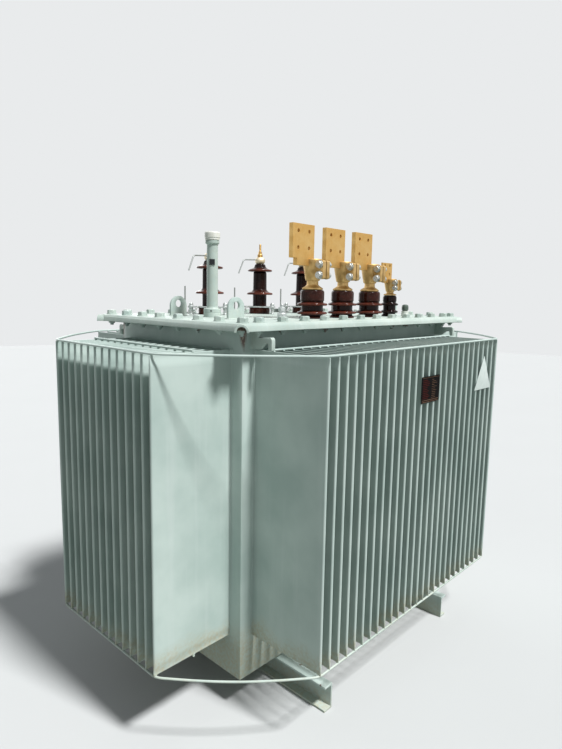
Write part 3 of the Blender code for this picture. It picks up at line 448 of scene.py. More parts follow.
def fin_wall_mesh(count, seed):
    """A folded wall along X, with its fins pointing to +Y and its bottom edge at height 0."""
    near_end = [0.0, 0.0014, 0.004, 0.0055, 0.010, 0.015, 0.021, 0.027, 0.033, 0.041]
    middle = [near_end[-1] + (FIN_HEIGHT - 2 * near_end[-1]) * i / 13 for i in range(1, 13)]
    reach = (count - 1) * FIN_PITCH / 2 + FIN_THICKNESS / 2 + WALL_LIP
    sections = []
    for height in near_end + middle + [FIN_HEIGHT - h for h in reversed(near_end)]:
        fold = fold_outline(fin_half(height))
        free = math.sin(math.pi * min(1.0, max(0.0, height / FIN_HEIGHT))) ** 0.35
        section = [(-reach, -WALL_SHEET, height), (-reach, 0.0, height)]
        for number in range(count):
            centre = (number - (count - 1) / 2) * FIN_PITCH
            for x, y in fold:
                out = y / FIN_DEPTH
                lean = MOST_LEAN * uneven(number * 3.7 + seed, out * 1.3, height * 2.2)
                bulge = MOST_BULGE * uneven(number * 5.1 - seed, out * 3.0 + 9.0, height * 3.5)
                grow = bulge * free * math.sin(math.pi * out) * (1 if x > 0 else -1)
                section.append((centre + x + lean * out * free + grow, y, height))
        sections.append(section + [(reach, 0.0, height), (reach, -WALL_SHEET, height)])
    return lofted_mesh(sections)


for side, count, distance, turn, seed in [
    ("back", LONG_FINS, TANK_Y, 0.0, 1.3), ("front", LONG_FINS, TANK_Y, math.pi, 4.1),
    ("left", SHORT_FINS, TANK_X, math.pi / 2, 7.7),
    ("right", SHORT_FINS, TANK_X, -math.pi / 2, 2.9),
]:
    wall = "fin_wall_" + side
    mesh = fin_wall_mesh(count, seed)
    mesh.transform(spun(turn) @ moved(0.0, distance, FIN_BOTTOM))
    mount_piece(wall + "_folded", mesh, fin_paint, stands_for=wall)
    print(wall, "has", count, "fins and", len(mesh.polygons), "faces")

# %% [markdown]
# ## Rods across the fins
# Two bent rods tie all the fin tips together, one on top and one underneath. They bow outwards
# a little where they cross the open corners. Straight bars cross the fins nearer the tank. Each
# is 8 mm round bar, bent by hand and tacked to every fin with a small spot of weld. A rod is a
# tube along a line of points, and at each corner of the line a small bend takes its place.

# %% Bends and rods
def eased(points, radius, steps=4):
    """Swaps every inner corner of an open line of points for a small bend."""
    bends = [Vector(points[0])]
    for before, corner, after in zip(points, points[1:], points[2:]):
        before, corner, after = Vector(before), Vector(corner), Vector(after)
        back, ahead = before - corner, after - corner
        start = corner + back.normalized() * min(radius, back.length / 2.1)
        end = corner + ahead.normalized() * min(radius, ahead.length / 2.1)
        for i in range(steps + 1):
            t = i / steps
            bends.append(start * (1 - t) ** 2 + corner * 2 * t * (1 - t) + end * t * t)
    return bends + [Vector(points[-1])]


def eased_loop(corners, radius):
    """A closed outline with every corner rounded."""
    looped = [corners[-1], *corners, corners[0]]
    return [(p.x, p.y) for p in eased(looped, radius)[1:-1]]


def in_scene(name, data):
    """An object of this name in the scene."""
    made = bpy.data.objects.new(name, data)
    bpy.context.scene.collection.objects.link(made)
    return made


def curve_mesh(lines, closed, **settings):
    """The mesh that a curve's settings make of straight-sided lines."""
    curve = put(bpy.data.curves.new("lines", "CURVE"), **settings)
    for places in lines:
        line = curve.splines.new("POLY")
        line.points.add(len(places) - 1)
        for point, place in zip(line.points, places):
            point.co = (*place, 1.0)
        line.use_cyclic_u = closed
    holder = in_scene("curve_holder", curve)
    bpy.context.view_layer.update()
    made = holder.evaluated_get(bpy.context.evaluated_depsgraph_get())
    mesh = bpy.data.meshes.new_from_object(made)
    bpy.data.objects.remove(holder, do_unlink=True)
    bm = bmesh.new()
    bm.from_mesh(mesh)
    bmesh.ops.remove_doubles(bm, verts=bm.verts, dist=0.00001)
    return finished_mesh(bm)


def rod_mesh(points, radius, closed=False):
    """A round rod along points."""
    return curve_mesh([points], closed, dimensions="3D", bevel_depth=radius, bevel_resolution=3,
                      use_fill_caps=True)


# %% Ring rods and tie bars
TIP_X, TIP_Y = TANK_X + FIN_DEPTH, TANK_Y + FIN_DEPTH
LONG_REACH = (LONG_FINS - 1) * FIN_PITCH / 2
SHORT_REACH = (SHORT_FINS - 1) * FIN_PITCH / 2
CORNER_RUN = 0.006
BEND_RUN = 0.020
CORNER_BOW = 0.020


def ring_points(height):
    """The rod's path round the fin tips, eased at its eight bends."""
    x, y = TIP_X - ROD_RADIUS, TIP_Y - ROD_RADIUS
    long_end, short_end = LONG_REACH + CORNER_RUN, SHORT_REACH + CORNER_RUN
    corners = [
        (long_end, -y), (x, -short_end), (x, short_end), (long_end, y),
        (-long_end, y), (-x, short_end), (-x, -short_end), (-long_end, -y),
    ]
    path = []
    for here, ahead in zip(map(Vector, corners), map(Vector, corners[1:] + corners[:1])):
        path.append(here)
        middle = (here + ahead) / 2
        if middle.x and middle.y:
            outward = Vector((math.copysign(1, middle.x), math.copysign(1, middle.y))).normalized()
            for share in [step / 12 for step in range(1, 12)]:
                bow = CORNER_BOW * math.sin(math.pi * share)
                path.append(here.lerp(ahead, share) + outward * bow)
    return [(x, y, height) for x, y in eased_loop(path, BEND_RUN)]


ROD_TOP = FIN_TOP + ROD_RADIUS + GAP
ROD_BOTTOM = FIN_BOTTOM - ROD_RADIUS - GAP
for name, height in [("ring_rod_top", ROD_TOP), ("ring_rod_bottom", ROD_BOTTOM)]:
    mesh = rod_mesh(ring_points(height), ROD_RADIUS, closed=True)
    mount_piece(name + "_bent", mesh, trim_paint, stands_for=name)
for name in ("tie_bar_front", "tie_bar_back", "tie_bar_left", "tie_bar_right"):
    low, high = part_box(name)
    along = 0 if high.x - low.x > high.y - low.y else 1
    start, end = (low + high) / 2, (low + high) / 2
    start[along], end[along] = low[along], high[along]
    mount_piece(name + "_round", rod_mesh([start, end], ROD_RADIUS), trim_paint,
                stands_for=name)
print("ring rods at", round(ROD_TOP, 4), "and", round(ROD_BOTTOM, 4))

# %% [markdown]
# The same bars also run under the fins of the two short sides, at mid depth. They are held by
# the same tack welds, and their ends show under the corner.

# %% Bars under the short sides
IN_PLACE = Matrix.Identity(4)
LOWER_BAR_X = TANK_X + FIN_DEPTH / 2
LOWER_BAR_END = SHORT_REACH + 0.004


def joined_mesh(placed):
    """One mesh out of many (mesh, matrix) pairs, so that like pieces stay one object."""
    bm = bmesh.new()
    for mesh, matrix in placed:
        count = len(bm.verts)
        bm.from_mesh(mesh)
        bm.verts.ensure_lookup_table()
        bmesh.ops.transform(bm, matrix=matrix, verts=bm.verts[count:])
    mesh = bpy.data.meshes.new("joined")
    bm.to_mesh(mesh)
    bm.free()
    return mesh


lower_bars = []
for x in (-LOWER_BAR_X, LOWER_BAR_X):
    ends = [(x, -LOWER_BAR_END, ROD_BOTTOM), (x, LOWER_BAR_END, ROD_BOTTOM)]
    lower_bars.append((rod_mesh(ends, ROD_RADIUS), IN_PLACE))
mount_piece("lower_tie_bars", joined_mesh(lower_bars), trim_paint)
print("lower bars at x", LOWER_BAR_X, "on both sides")

# %% Tack welds
TIE_BAR_Y = TANK_Y + 0.078
TACK_RADIUS = 0.0034
TACK_BEHIND = 2.2 * ROD_RADIUS


def tack_mesh():
    """A drop of weld of radius 1, a little out of round."""
    bm = bmesh.new()
    bmesh.ops.create_icosphere(bm, subdivisions=2, radius=1.0)
    for vert in bm.verts:
        vert.co *= 1 + 0.15 * noise.noise(vert.co * 2.0)
    return finished_mesh(bm)


def both_sides(count, pitch, out, along_x):
    """Evenly spaced spots on two opposite sides of the tank."""
    spots = [((n - (count - 1) / 2) * pitch, side * out) for n in range(count) for side in (-1, 1)]
    return spots if along_x else [(y, x) for x, y in spots]


tack = tack_mesh()
rng = random.Random(7)
tacks = []
for height, on_top in [(ROD_TOP - ROD_RADIUS, True), (ROD_BOTTOM + ROD_RADIUS, False)]:
    spots = both_sides(LONG_FINS, FIN_PITCH, TIP_Y - TACK_BEHIND, True)
    spots += both_sides(SHORT_FINS, FIN_PITCH, TIP_X - TACK_BEHIND, False)
    if on_top:
        spots += both_sides(LONG_FINS, FIN_PITCH, TIE_BAR_Y + ROD_RADIUS, True)
    spots += both_sides(SHORT_FINS, FIN_PITCH, LOWER_BAR_X - ROD_RADIUS, False)
    for x, y in spots:
        size = TACK_RADIUS * rng.uniform(0.85, 1.2)
        squash = Matrix.Diagonal((size, size, size * 0.8, 1.0))
        tacks.append((tack, moved(x + rng.uniform(-0.001, 0.001), y, height) @ squash))
mount_piece("tack_welds", joined_mesh(tacks), trim_paint)
print("tack welds:", len(tacks))

# %% [markdown]
# ## Steel solids that keep their CAD shape
# The tank, flange, cover, lugs, hooks and skids already have the right shape. They need only
# the broken edges of real plate. The weld modifier joins the faces again, a bevel rounds each
# edge, and a small node group shades gentle bends smooth and leaves real edges sharp.

# %% Broken edges for CAD nodes
def smooth_group():
    """Shades faces smooth except across edges sharper than the limit, and drops old normals."""
    group = bpy.data.node_groups.new("shade_by_angle", "GeometryNodeTree")
    for way in ("INPUT", "OUTPUT"):
        group.interface.new_socket("Geometry", in_out=way, socket_type="NodeSocketGeometry")
    angle = add(group, "GeometryNodeInputMeshEdgeAngle")
    sharp = add(group, "FunctionNodeCompare", angle, SHARP_ANGLE, data_type="FLOAT",
                operation="GREATER_THAN")
    entry = add(group, "NodeGroupInput")
    bare = add(group, "GeometryNodeRemoveAttribute", entry, Name="custom_normal")
    faces = add(group, "GeometryNodeSetShadeSmooth", bare, domain="FACE")
    edges = add(group, "GeometryNodeSetShadeSmooth", faces, sharp, False, domain="EDGE")
    add(group, "NodeGroupOutput", edges)
    return group


SHADE_BY_ANGLE = smooth_group()


def dress(node_name, material, edge):
    """Gives a CAD node its finish and a broken edge, and leaves its mesh as it is."""
    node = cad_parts[node_name]
    for place in node.material_slots:
        place.material = material
    put(node.modifiers.new("weld", "WELD"), merge_threshold=0.00002)
    put(node.modifiers.new("broken_edge", "BEVEL"), width=edge, segments=2, limit_method="ANGLE",
        angle_limit=SHARP_ANGLE, use_clamp_overlap=True)
    put(node.modifiers.new("shade", "NODES"), node_group=SHADE_BY_ANGLE)


LUGS = [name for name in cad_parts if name.startswith("cover_lug")]
HOOKS = [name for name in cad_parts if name.startswith("tank_hook")]
for names, material, edge in [
    (["tank_body"], tank_paint, 0.003), (["tank_flange"], tank_paint, 0.001),
    (["cover"], cover_paint, 0.0025), (["cover_gasket"], gasket_rubber, 0.0006),
    (["skid_left", "skid_right"], skid_paint, 0.0012), (LUGS + HOOKS, cover_paint, 0.0012),
]:
    for name in names:
        dress(name, material, edge)
print("dressed:", len([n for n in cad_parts.values() if n.modifiers]))

# %% [markdown]
# ## Welds
# Arc welds join the flange to the tank, each corrugated wall to its post and each lug to the
# cover. A bead is a rod of metal laid in small overlapping ripples, painted over with the tank.

# %% Weld beads
RIPPLE_PITCH = 0.006
COLLAR_BEAD, WALL_BEAD, FOOT_BEAD, HOOK_BEAD = 0.0035, 0.0022, 0.0028, 0.0026


def circle(x, y, radius, steps=32):
    """A round outline."""
    turns = [2 * math.pi * i / steps for i in range(steps)]
    return [(x + radius * math.cos(a), y + radius * math.sin(a)) for a in turns]


def rectangle(x0, y0, x1, y1):
    """An outline with four corners."""
    return [(x0, y0), (x1, y0), (x1, y1), (x0, y1)]


def bead_mesh(points, radius, seed, closed=False):
    """A rippled bead along straight runs between points."""
    corners = [Vector(p) for p in points]
    if closed:
        corners.append(corners[0])
    path = []
    for start, end in zip(corners, corners[1:]):
        steps = max(2, int((end - start).length / RIPPLE_PITCH))
        path += [start.lerp(end, i / steps) for i in range(steps)]
    path.append(corners[-1])
    sections = []
    for i, here in enumerate(path):
        ahead = (path[min(i + 1, len(path) - 1)] - path[max(i - 1, 0)]).normalized()
        side = ahead.orthogonal().normalized()
        up = ahead.cross(side)
        swell = radius * (1 + 0.16 * (i % 2) + 0.18 * uneven(i * 0.37, seed, 0.0))
        sections.append([here + (side * x + up * y) * swell for x, y in circle(0.0, 0.0, 1.0, 6)])
    return lofted_mesh(sections)


def mount_beads(name, runs, material):
    """All the beads of one finish as one piece."""
    mount_piece(name, joined_mesh([(bead_mesh(*run), IN_PLACE) for run in runs]), material)


collar = [(x, y, FLANGE_BOTTOM - 0.0005) for x, y in rectangle(-TANK_X, -TANK_Y, TANK_X, TANK_Y)]
tank_runs = [(collar, COLLAR_BEAD, 1.0, True)]
wall_x = LONG_REACH + FIN_THICKNESS / 2 + WALL_LIP
wall_y = SHORT_REACH + FIN_THICKNESS / 2 + WALL_LIP
for side_x in (-1, 1):
    for side_y in (-1, 1):
        seed = side_x * 2.0 + side_y
        for x, y in ((side_x * wall_x, side_y * TANK_Y), (side_x * TANK_X, side_y * wall_y)):
            tank_runs.append(([(x, y, FIN_BOTTOM), (x, y, FIN_TOP)], WALL_BEAD, seed))
for side in (-1, 1):
    for z in (FIN_BOTTOM, FIN_TOP):
        tank_runs.append(([(-wall_x, side * TANK_Y, z), (wall_x, side * TANK_Y, z)], WALL_BEAD, z))
        tank_runs.append(([(side * TANK_X, -wall_y, z), (side * TANK_X, wall_y, z)], WALL_BEAD, z))
mount_beads("tank_welds", tank_runs, tank_paint)
foot_runs = []
for low, high in map(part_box, LUGS):
    foot = [(x, y, low.z) for x, y in rectangle(low.x, low.y, high.x, high.y)]
    foot_runs.append((foot, FOOT_BEAD, low.x + low.y, True))
for low, high in map(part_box, HOOKS):
    wall = -TANK_Y if low.y < 0 else TANK_Y
    for x in (low.x, high.x):
        foot_runs.append(([(x, wall, low.z), (x, wall, high.z)], HOOK_BEAD, x))
mount_beads("lug_and_hook_welds", foot_runs, cover_paint)
print("beads:", len(tank_runs) + len(foot_runs))

# %% [markdown]
# ## Cover bolts
# The cover is clamped to the flange by hexagon bolts about 110 mm apart, painted over with the
# cover. A hexagon head has its top corners turned off to a chamfer. Under the flange hang the
# nuts with the bolt ends, which look like a row of dark stubs in the flange's shade. Their
# heavy rust chips are partly real rust and partly painted shade that darkens them.

# %% Hexagon bolts and nuts
HEX_TURNS = [2 * math.pi * i / 24 for i in range(24)]
BOLT_PITCH = 0.110
BOLT_ROW_X, BOLT_ROW_Y = 0.676, 0.384
BOLT_SINK = 0.0004


def hex_mesh(across, height, bore=0.0, stub=0.0, washer=0.0):
    """A hexagon with a chamfered top, on a washer where it has one and with a bolt end on top."""
    corner, chamfer, top = across / math.sqrt(3), across / 2 * 0.97, washer + height
    wide = corner * 1.12
    rounds = [(wide, 0.0), (wide, washer * 0.85), (wide * 0.985, washer)] if washer else []
    sections = [[(x, y, z) for x, y in circle(0.0, 0.0, radius, 24)] for radius, z in rounds]
    levels = [(corner, washer), (corner, washer + height * 0.80),
              (chamfer * 1.045, washer + height * 0.90), (chamfer, top)]
    if stub:
        levels += [(bore, top), (bore, top + stub * 0.85), (bore * 0.85, top + stub)]
    for limit, z in levels:
        section = []
        for a in HEX_TURNS:
            flat = across / 2 / math.cos((a + math.pi / 6) % (math.pi / 3) - math.pi / 6)
            section.append((min(flat, limit) * math.cos(a), min(flat, limit) * math.sin(a), z))
        sections.append(section)
    return lofted_mesh(sections)


bolt = hex_mesh(0.030, 0.0140, washer=0.0032)
nut = hex_mesh(0.022, 0.010, bore=0.007, stub=0.007, washer=0.0022)
rng = random.Random(3)
heads, nuts = [], []
long_rows = both_sides(12, BOLT_PITCH, BOLT_ROW_Y, True)
for x, y in long_rows + both_sides(8, BOLT_PITCH, BOLT_ROW_X, False):
    heads.append((bolt, moved(x, y, COVER_TOP - BOLT_SINK) @ spun(rng.uniform(0, math.pi))))
    hang = moved(x, y, FLANGE_BOTTOM + BOLT_SINK) @ spun(math.pi, "X")
    nuts.append((nut, hang @ spun(rng.uniform(0, math.pi))))
mount_piece("cover_bolts", joined_mesh(heads), cover_paint)
mount_piece("flange_nuts", joined_mesh(nuts), nut_paint_rust_and_shade)
print("bolts:", len(heads), "spaced", BOLT_PITCH)

# %% [markdown]
# ## Oil filler
# A painted standpipe on a thick foot carries the oil level. Its push-on cap is cream plastic
# with a stepped skirt. Both are turned parts, spun from a profile of (radius, height) pairs,
# whose corners are eased first, because every real edge catches a line of light.

# %% Turned parts
def turned_mesh(profile, steps=56, ease=0.0012):
    """A solid of revolution; the profile runs from the axis at the bottom to the axis on top."""
    sections = []
    for radius, height in eased(profile, ease):
        ring = circle(0.0, 0.0, radius, steps if radius > 1e-6 else 1)
        sections.append([(x, y, height) for x, y in ring])
    return lofted_mesh(sections)


def standing(node_name, height=None):
    """The place on a node's upright axis at a height, or else at the node's bottom."""
    low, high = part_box(node_name)
    return moved((low.x + high.x) / 2, (low.y + high.y) / 2, low.z if height is None else height)


# %% Filler tube and cap
low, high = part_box("oil_filler_tube")
tube_top = high.z - low.z
tube_profile = [
    (0.0, 0.0), (0.0325, 0.0), (0.0325, 0.013), (0.0312, 0.0145), (0.0325, 0.016), (0.0325, 0.030),
    (0.030, 0.032), (0.0235, 0.032), (0.0215, 0.036), (0.0208, 0.040), (0.0208, tube_top - 0.016),
    (0.0262, tube_top - 0.012), (0.0262, tube_top - 0.002), (0.0235, tube_top - 0.0015),
    (0.0235, tube_top), (0.0, tube_top),
]
tube_foot = standing("oil_filler_tube")
mount_piece("oil_filler_tube_turned", turned_mesh(tube_profile), cover_paint,
            at=tube_foot, stands_for="oil_filler_tube")
low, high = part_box("oil_filler_cap")
cap_top = high.z - low.z
cap_profile = [
    (0.0, 0.0), (0.0275, 0.0), (0.0275, 0.007), (0.029, 0.0085), (0.029, cap_top - 0.006),
    (0.0275, cap_top - 0.002), (0.021, cap_top - 0.0005), (0.020, cap_top - 0.0022),
    (0.0, cap_top - 0.0018),
]
mount_piece("oil_filler_cap_moulded", turned_mesh(cap_profile), cap_plastic,
            at=standing("oil_filler_tube", low.z), stands_for="oil_filler_cap")
print("filler top", round(high.z, 4))

# %% [markdown]
# A small square window near the top shows the oil, and a black set screw locks the foot. The
# window is a flat plate, cut to an outline and then stood upright.

# %% Level window and set screw
UPRIGHT = spun(math.pi / 2, "X")
WINDOW_HALF = 0.0105
WINDOW_HEIGHT = 1.548


def plate_mesh(outlines, thickness, edge=0.0008):
    """A plate cut to closed outlines in its own XY plane, with its arrises broken."""
    return curve_mesh([[(x, y, 0.0) for x, y in outline] for outline in outlines], True,
                      dimensions="2D", fill_mode="BOTH", extrude=thickness / 2 - edge,
                      bevel_depth=edge, bevel_resolution=1, offset=-edge)


window_outline = rectangle(-WINDOW_HALF, -WINDOW_HALF, WINDOW_HALF, WINDOW_HALF)
window_mesh = plate_mesh([window_outline], 0.0044, 0.0012)
facing = spun(math.radians(-43)) @ moved(0.0, -0.0212, 0.0) @ UPRIGHT
mount_piece("level_window", window_mesh, window_glass,
            at=standing("oil_filler_tube", WINDOW_HEIGHT) @ facing)
screw_profile = [(0.0, -0.004), (0.0034, -0.004), (0.0034, 0.0004), (0.0017, 0.0004),
                 (0.0017, -0.0010), (0.0, -0.0010)]
black_steel = zinc_coated("black_oxide_screw_steel", "#2b2b2d", "#1a1a1c", 0.40, 0.55, 900.0)
facing = spun(math.radians(-48)) @ moved(0.0, -0.0325, 0.0235) @ UPRIGHT
mount_piece("filler_set_screw", turned_mesh(screw_profile, steps=24, ease=0.0003), black_steel,
            at=tube_foot @ facing)
print("window at", WINDOW_HEIGHT)

# %% [markdown]
# ## High-voltage bushings
# Each is a slim porcelain with two broad sheds. A three-cornered zinc-coated plate clamps its
# shoulder with dome nuts, a brass ball nut and a threaded stud top it, and two bent rods make
# the arcing horns that draw a surge away from the glaze. The first of the three stands turned
# by an eighth of a right angle.

# %% Porcelain, ball nut and horns
def shed_points(top, core, reach, drop, lip):
    """Profile of one shed from underneath to the top, with a sloping top and a rounded lip."""
    width = reach - core
    return [
        (core, top - drop - lip * 0.9), (reach - lip * 1.3, top - drop - lip * 0.70),
        (reach - lip * 0.5, top - drop - lip), (reach, top - drop - lip * 0.55),
        (reach - lip * 0.25, top - drop), (core + width * 0.58, top - drop * 0.84),
        (core + width * 0.22, top - drop * 0.52), (core, top),
    ]


HV_TOP = 0.225
HORN_RADIUS = 0.003
CLAMP_HEIGHT = 0.0313
THREADS, THREAD_PITCH = 18, 0.00172
hv_profile = [
    (0.0, 0.0), (0.048, 0.0), (0.048, 0.024), (0.045, 0.028), (0.0325, 0.0285), (0.032, 0.032),
    (0.032, 0.080), *shed_points(0.110, 0.032, 0.061, 0.015, 0.0095),
    (0.0318, 0.114), (0.0310, 0.183), *shed_points(0.213, 0.0268, 0.057, 0.013, 0.0095),
    (0.0255, 0.219), (0.0225, HV_TOP), (0.0, HV_TOP),
]
ball_profile = [
    (0.0, 0.0), (0.0150, 0.0), (0.0195, 0.0035), (0.0224, 0.0090), (0.0230, 0.0150),
    (0.0224, 0.0210), (0.0195, 0.0265), (0.0150, 0.0300), (0.0, 0.0300),
]
stud_profile = [
    (0.0, 0.0298), (0.0118, 0.0298), (0.0118, 0.0330), (0.0104, 0.0345), (0.0104, 0.0440),
    (0.0085, 0.0460), (0.0078, 0.0555), (0.0052, 0.0565),
]
for base in [0.0570 + number * THREAD_PITCH for number in range(THREADS)]:
    stud_profile += [(0.0043, base), (0.0051, base + THREAD_PITCH / 2)]
stud_profile += [(0.0040, 0.0888), (0.0, 0.0890)]
upper_horn = eased([(0.0, 0.0, 0.020), (-0.102, 0.0, 0.015), (-0.132, 0.0, -0.046)], 0.010, 6)
lower_horn = eased([(-0.046, 0.0, CLAMP_HEIGHT), (-0.083, 0.0, CLAMP_HEIGHT), (-0.097, 0.0, 0.010),
                    (-0.155, 0.0, 0.010), (-0.155, 0.0, 0.116)], 0.008, 5)
hv_mesh = turned_mesh(hv_profile, steps=72, ease=0.0025)
ball_mesh = turned_mesh(ball_profile, steps=48, ease=0.0025)
stud_mesh = turned_mesh(stud_profile, steps=32, ease=0.0005)
stud_nut = hex_mesh(0.0215, 0.008)
hv_stands = {}
for number in (1, 2, 3):
    turn = spun(math.pi / 16 if number == 1 else 0.0)
    stand = hv_stands[number] = standing(f"hv_bushing_{number}", COVER_TOP + GAP) @ turn
    top = stand @ moved(0.0, 0.0, HV_TOP + GAP)
    mount_piece(f"hv_porcelain_{number}", hv_mesh.copy(), hv_glaze, at=stand,
                stands_for=f"hv_bushing_{number}")
    mount_piece(f"hv_ball_nut_{number}", ball_mesh.copy(), tinned_brass, at=top,
                stands_for=f"hv_terminal_{number}")
    stud_and_nut = joined_mesh([(stud_mesh, IN_PLACE), (stud_nut, moved(0.0, 0.0, 0.0345))])
    mount_piece(f"hv_stud_{number}", stud_and_nut, turned_brass, at=top)
    for level, horn, at in (("upper", upper_horn, top), ("lower", lower_horn, stand)):
        mount_piece(f"hv_{level}_horn_{number}", rod_mesh(horn, HORN_RADIUS), drawn_zinc,
                    at=at)
print("high-voltage bushings:", len(hv_stands))

# %% [markdown]
# The clamp plate is cut from 6 mm plate as a rounded triangle. Its three studs end in dome nuts
# over washers.

# %% Clamp plates
CLAMP_REACH = 0.083
CLAMP_CORNER = 0.014
CLAMP_PLATE = 0.006
CLAMP_TURNS = [-math.pi / 2 + 2 * math.pi * n / 3 for n in range(3)]


def clamp_plate_outline():
    """A triangle with its corners rounded about the three studs."""
    points = []
    for middle in CLAMP_TURNS:
        for a in [middle - math.pi / 3 + 2 * math.pi / 3 * i / 8 for i in range(9)]:
            points.append((CLAMP_REACH * math.cos(middle) + CLAMP_CORNER * math.cos(a),
                           CLAMP_REACH * math.sin(middle) + CLAMP_CORNER * math.sin(a)))
    return points


dome_profile = [
    (0.0, 0.0), (0.0115, 0.0), (0.0115, 0.0018), (0.0092, 0.002), (0.0092, 0.009),
    (0.0080, 0.0125), (0.0050, 0.0160), (0.0, 0.0172),
]
foot_profile = [
    (0.0, 0.0), (0.0085, 0.0), (0.0085, 0.004), (0.0068, 0.006), (0.0068, 0.020),
    (0.0088, 0.022), (0.0088, 0.0284), (0.0, 0.0284),
]
dome_mesh = turned_mesh(dome_profile, steps=24, ease=0.0008)
foot_mesh = turned_mesh(foot_profile, steps=24, ease=0.0006)
clamp_mesh = plate_mesh([clamp_plate_outline(), circle(0.0, 0.0, 0.0326, 48)], CLAMP_PLATE)
clamp_top = CLAMP_HEIGHT + CLAMP_PLATE / 2
placed = [(clamp_mesh, moved(0.0, 0.0, CLAMP_HEIGHT))]
for turn in CLAMP_TURNS:
    x, y = CLAMP_REACH * math.cos(turn), CLAMP_REACH * math.sin(turn)
    placed += [(foot_mesh, moved(x, y, 0.0)), (dome_mesh, moved(x, y, clamp_top))]
for number, stand in hv_stands.items():
    mount_piece(f"hv_clamp_plate_{number}", joined_mesh(placed), dipped_zinc,
                at=stand, stands_for=f"hv_press_plate_{number}")
print("clamp studs:", len(CLAMP_TURNS) * len(hv_stands))

# %% [markdown]
# ## Low-voltage bushings
# These are squat porcelains with two thin sheds. A cast brass clamp is split at the front, with
# two ears drawn together by two zinc bolts round the bushing's stem, above a flared collar. An
# upright flag of brass plate with four holes takes the flat cable lugs. The neutral has the
# same parts, smaller.

# %% Low-voltage porcelain and brass
SLIT = 0.002
HOLE_RADIUS = 0.0066


def lv_profile(height, share):
    """The porcelain's profile; share is its girth against a phase bushing."""
    top, base = 0.046 * share, 0.050 * share
    waist, reach = 0.042 * share, 0.059 * share
    return [
        (0.0, 0.0), (base, 0.0), (base, 0.007), (waist, 0.0105),
        *shed_points(0.031, waist, reach, 0.006, 0.0095), (waist, 0.036),
        *shed_points(0.064, waist, reach, 0.006, 0.0095), (top - 0.001, 0.0665), (top, 0.070),
        (top, height - 0.008), (top - 0.003, height - 0.002), (top - 0.009, height), (0.0, height),
    ]


def barrel_profile(scale, neck, top):
    """The clamp's round part: a flared collar, a neck and the ring that grips the stem."""
    return [(radius * scale, height) for radius, height in [
        (0.0, 0.0), (0.040, 0.0), (0.040, 0.0055 * scale), (0.0375, 0.0075 * scale),
        (0.0265, neck * 0.42), (0.0222, neck * 0.56), (0.0220, neck), (0.0265, neck),
        (0.0285, neck + 0.006), (0.0395, top - 0.012), (0.040, top - 0.003), (0.0385, top),
        (0.024, top), (0.024, top - 0.008), (0.019, top - 0.008), (0.019, top - 0.002),
        (0.0, top - 0.002),
    ]]


def lv_set(name, bushing, terminal, share, neck, clamp, width, tall, right, spacing, hole_rise,
           thickness):
    """One low-voltage bushing with its clamp, flag and bolts; its height and place come from its
    solid.
    """
    scale, bolt_scale, bolt_gap = (0.72, 0.8, 0.85) if share < 1 else (1.0, 1.0, 1.0)
    low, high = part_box(bushing)
    at = standing(bushing, high.z + GAP)
    porcelain = turned_mesh(lv_profile(high.z - low.z, share), steps=72, ease=0.0022)
    mount_piece(name + "_porcelain", porcelain, lv_glaze, at=standing(bushing),
                stands_for=bushing)
    top = neck + clamp
    left, bridge, foot = right - width, right - width * 0.80, top - 0.026 * scale
    outline = [(right, foot), (right, top + tall), (left, top + tall), (left, top), (bridge, top),
               (bridge, foot)]
    middle = ((left + right) / 2, top + tall / 2 + hole_rise)
    holes = [circle(middle[0] + side * spacing / 2, middle[1] + lift * spacing / 2, HOLE_RADIUS)
             for side in (-1, 1) for lift in (-1, 1)]
    mount_piece(name + "_flag", plate_mesh([outline, *holes], thickness, 0.0009), rolled_brass,
                at=at @ UPRIGHT)
    ear_low, ear_high = neck + 0.006, top - 0.006
    ear_reach, ear_side = 0.066 * scale, 0.020 * scale
    ear_outline = eased_loop(rectangle(0.012 * scale, ear_low, ear_reach, ear_high), 0.007 * scale)
    ear_mesh = plate_mesh([ear_outline], ear_side - SLIT, 0.0012)
    placed = [(turned_mesh(barrel_profile(scale, neck, top), ease=0.0018), IN_PLACE)]
    across = 0.024 * bolt_scale
    head = hex_mesh(across, across * 0.42, washer=0.0024)
    nut = hex_mesh(across, across * 0.50, bore=across * 0.32, stub=0.009 * scale, washer=0.0024)
    bolt_y, bolt_rise = -(ear_reach - 0.0165 * scale), 0.020 * scale * bolt_gap
    bolts = []
    for side in (-1, 1):
        to_front = spun(-math.pi / 2) @ moved(0.0, side * (ear_side + SLIT) / 2, 0.0)
        placed.append((ear_mesh, to_front @ UPRIGHT))
        z = (ear_low + ear_high) / 2 + side * bolt_rise
        bolts.append((head, moved(-ear_side + 0.0002, bolt_y, z) @ spun(-math.pi / 2, "Y")))
        bolts.append((nut, moved(ear_side - 0.0002, bolt_y, z) @ spun(math.pi / 2, "Y")))
    mount_piece(name + "_clamp", joined_mesh(placed), cast_brass, at=at,
                stands_for=terminal)
    mount_piece(name + "_clamp_bolts", joined_mesh(bolts), plated_zinc, at=at)


for number in (1, 2, 3):
    lv_set(f"lv_{number}", f"lv_bushing_{number}", f"lv_terminal_{number}", share=1.0, neck=0.034,
           clamp=0.080, width=0.120, tall=0.124, right=-0.007, spacing=0.060, hole_rise=0.006,
           thickness=0.020)
lv_set("neutral", "neutral_bushing", "neutral_terminal", share=0.67, neck=0.017, clamp=0.056,
       width=0.076, tall=0.069, right=0.002, spacing=0.038, hole_rise=0.004, thickness=0.009)
print("low-voltage bushings: 3 and a neutral")

# %% [markdown]
# ## Small fittings
# The thermometer pocket is a white ring stack closed by a dark green screw dome. The vent plug
# is a zinc-coated hexagon on a round foot.

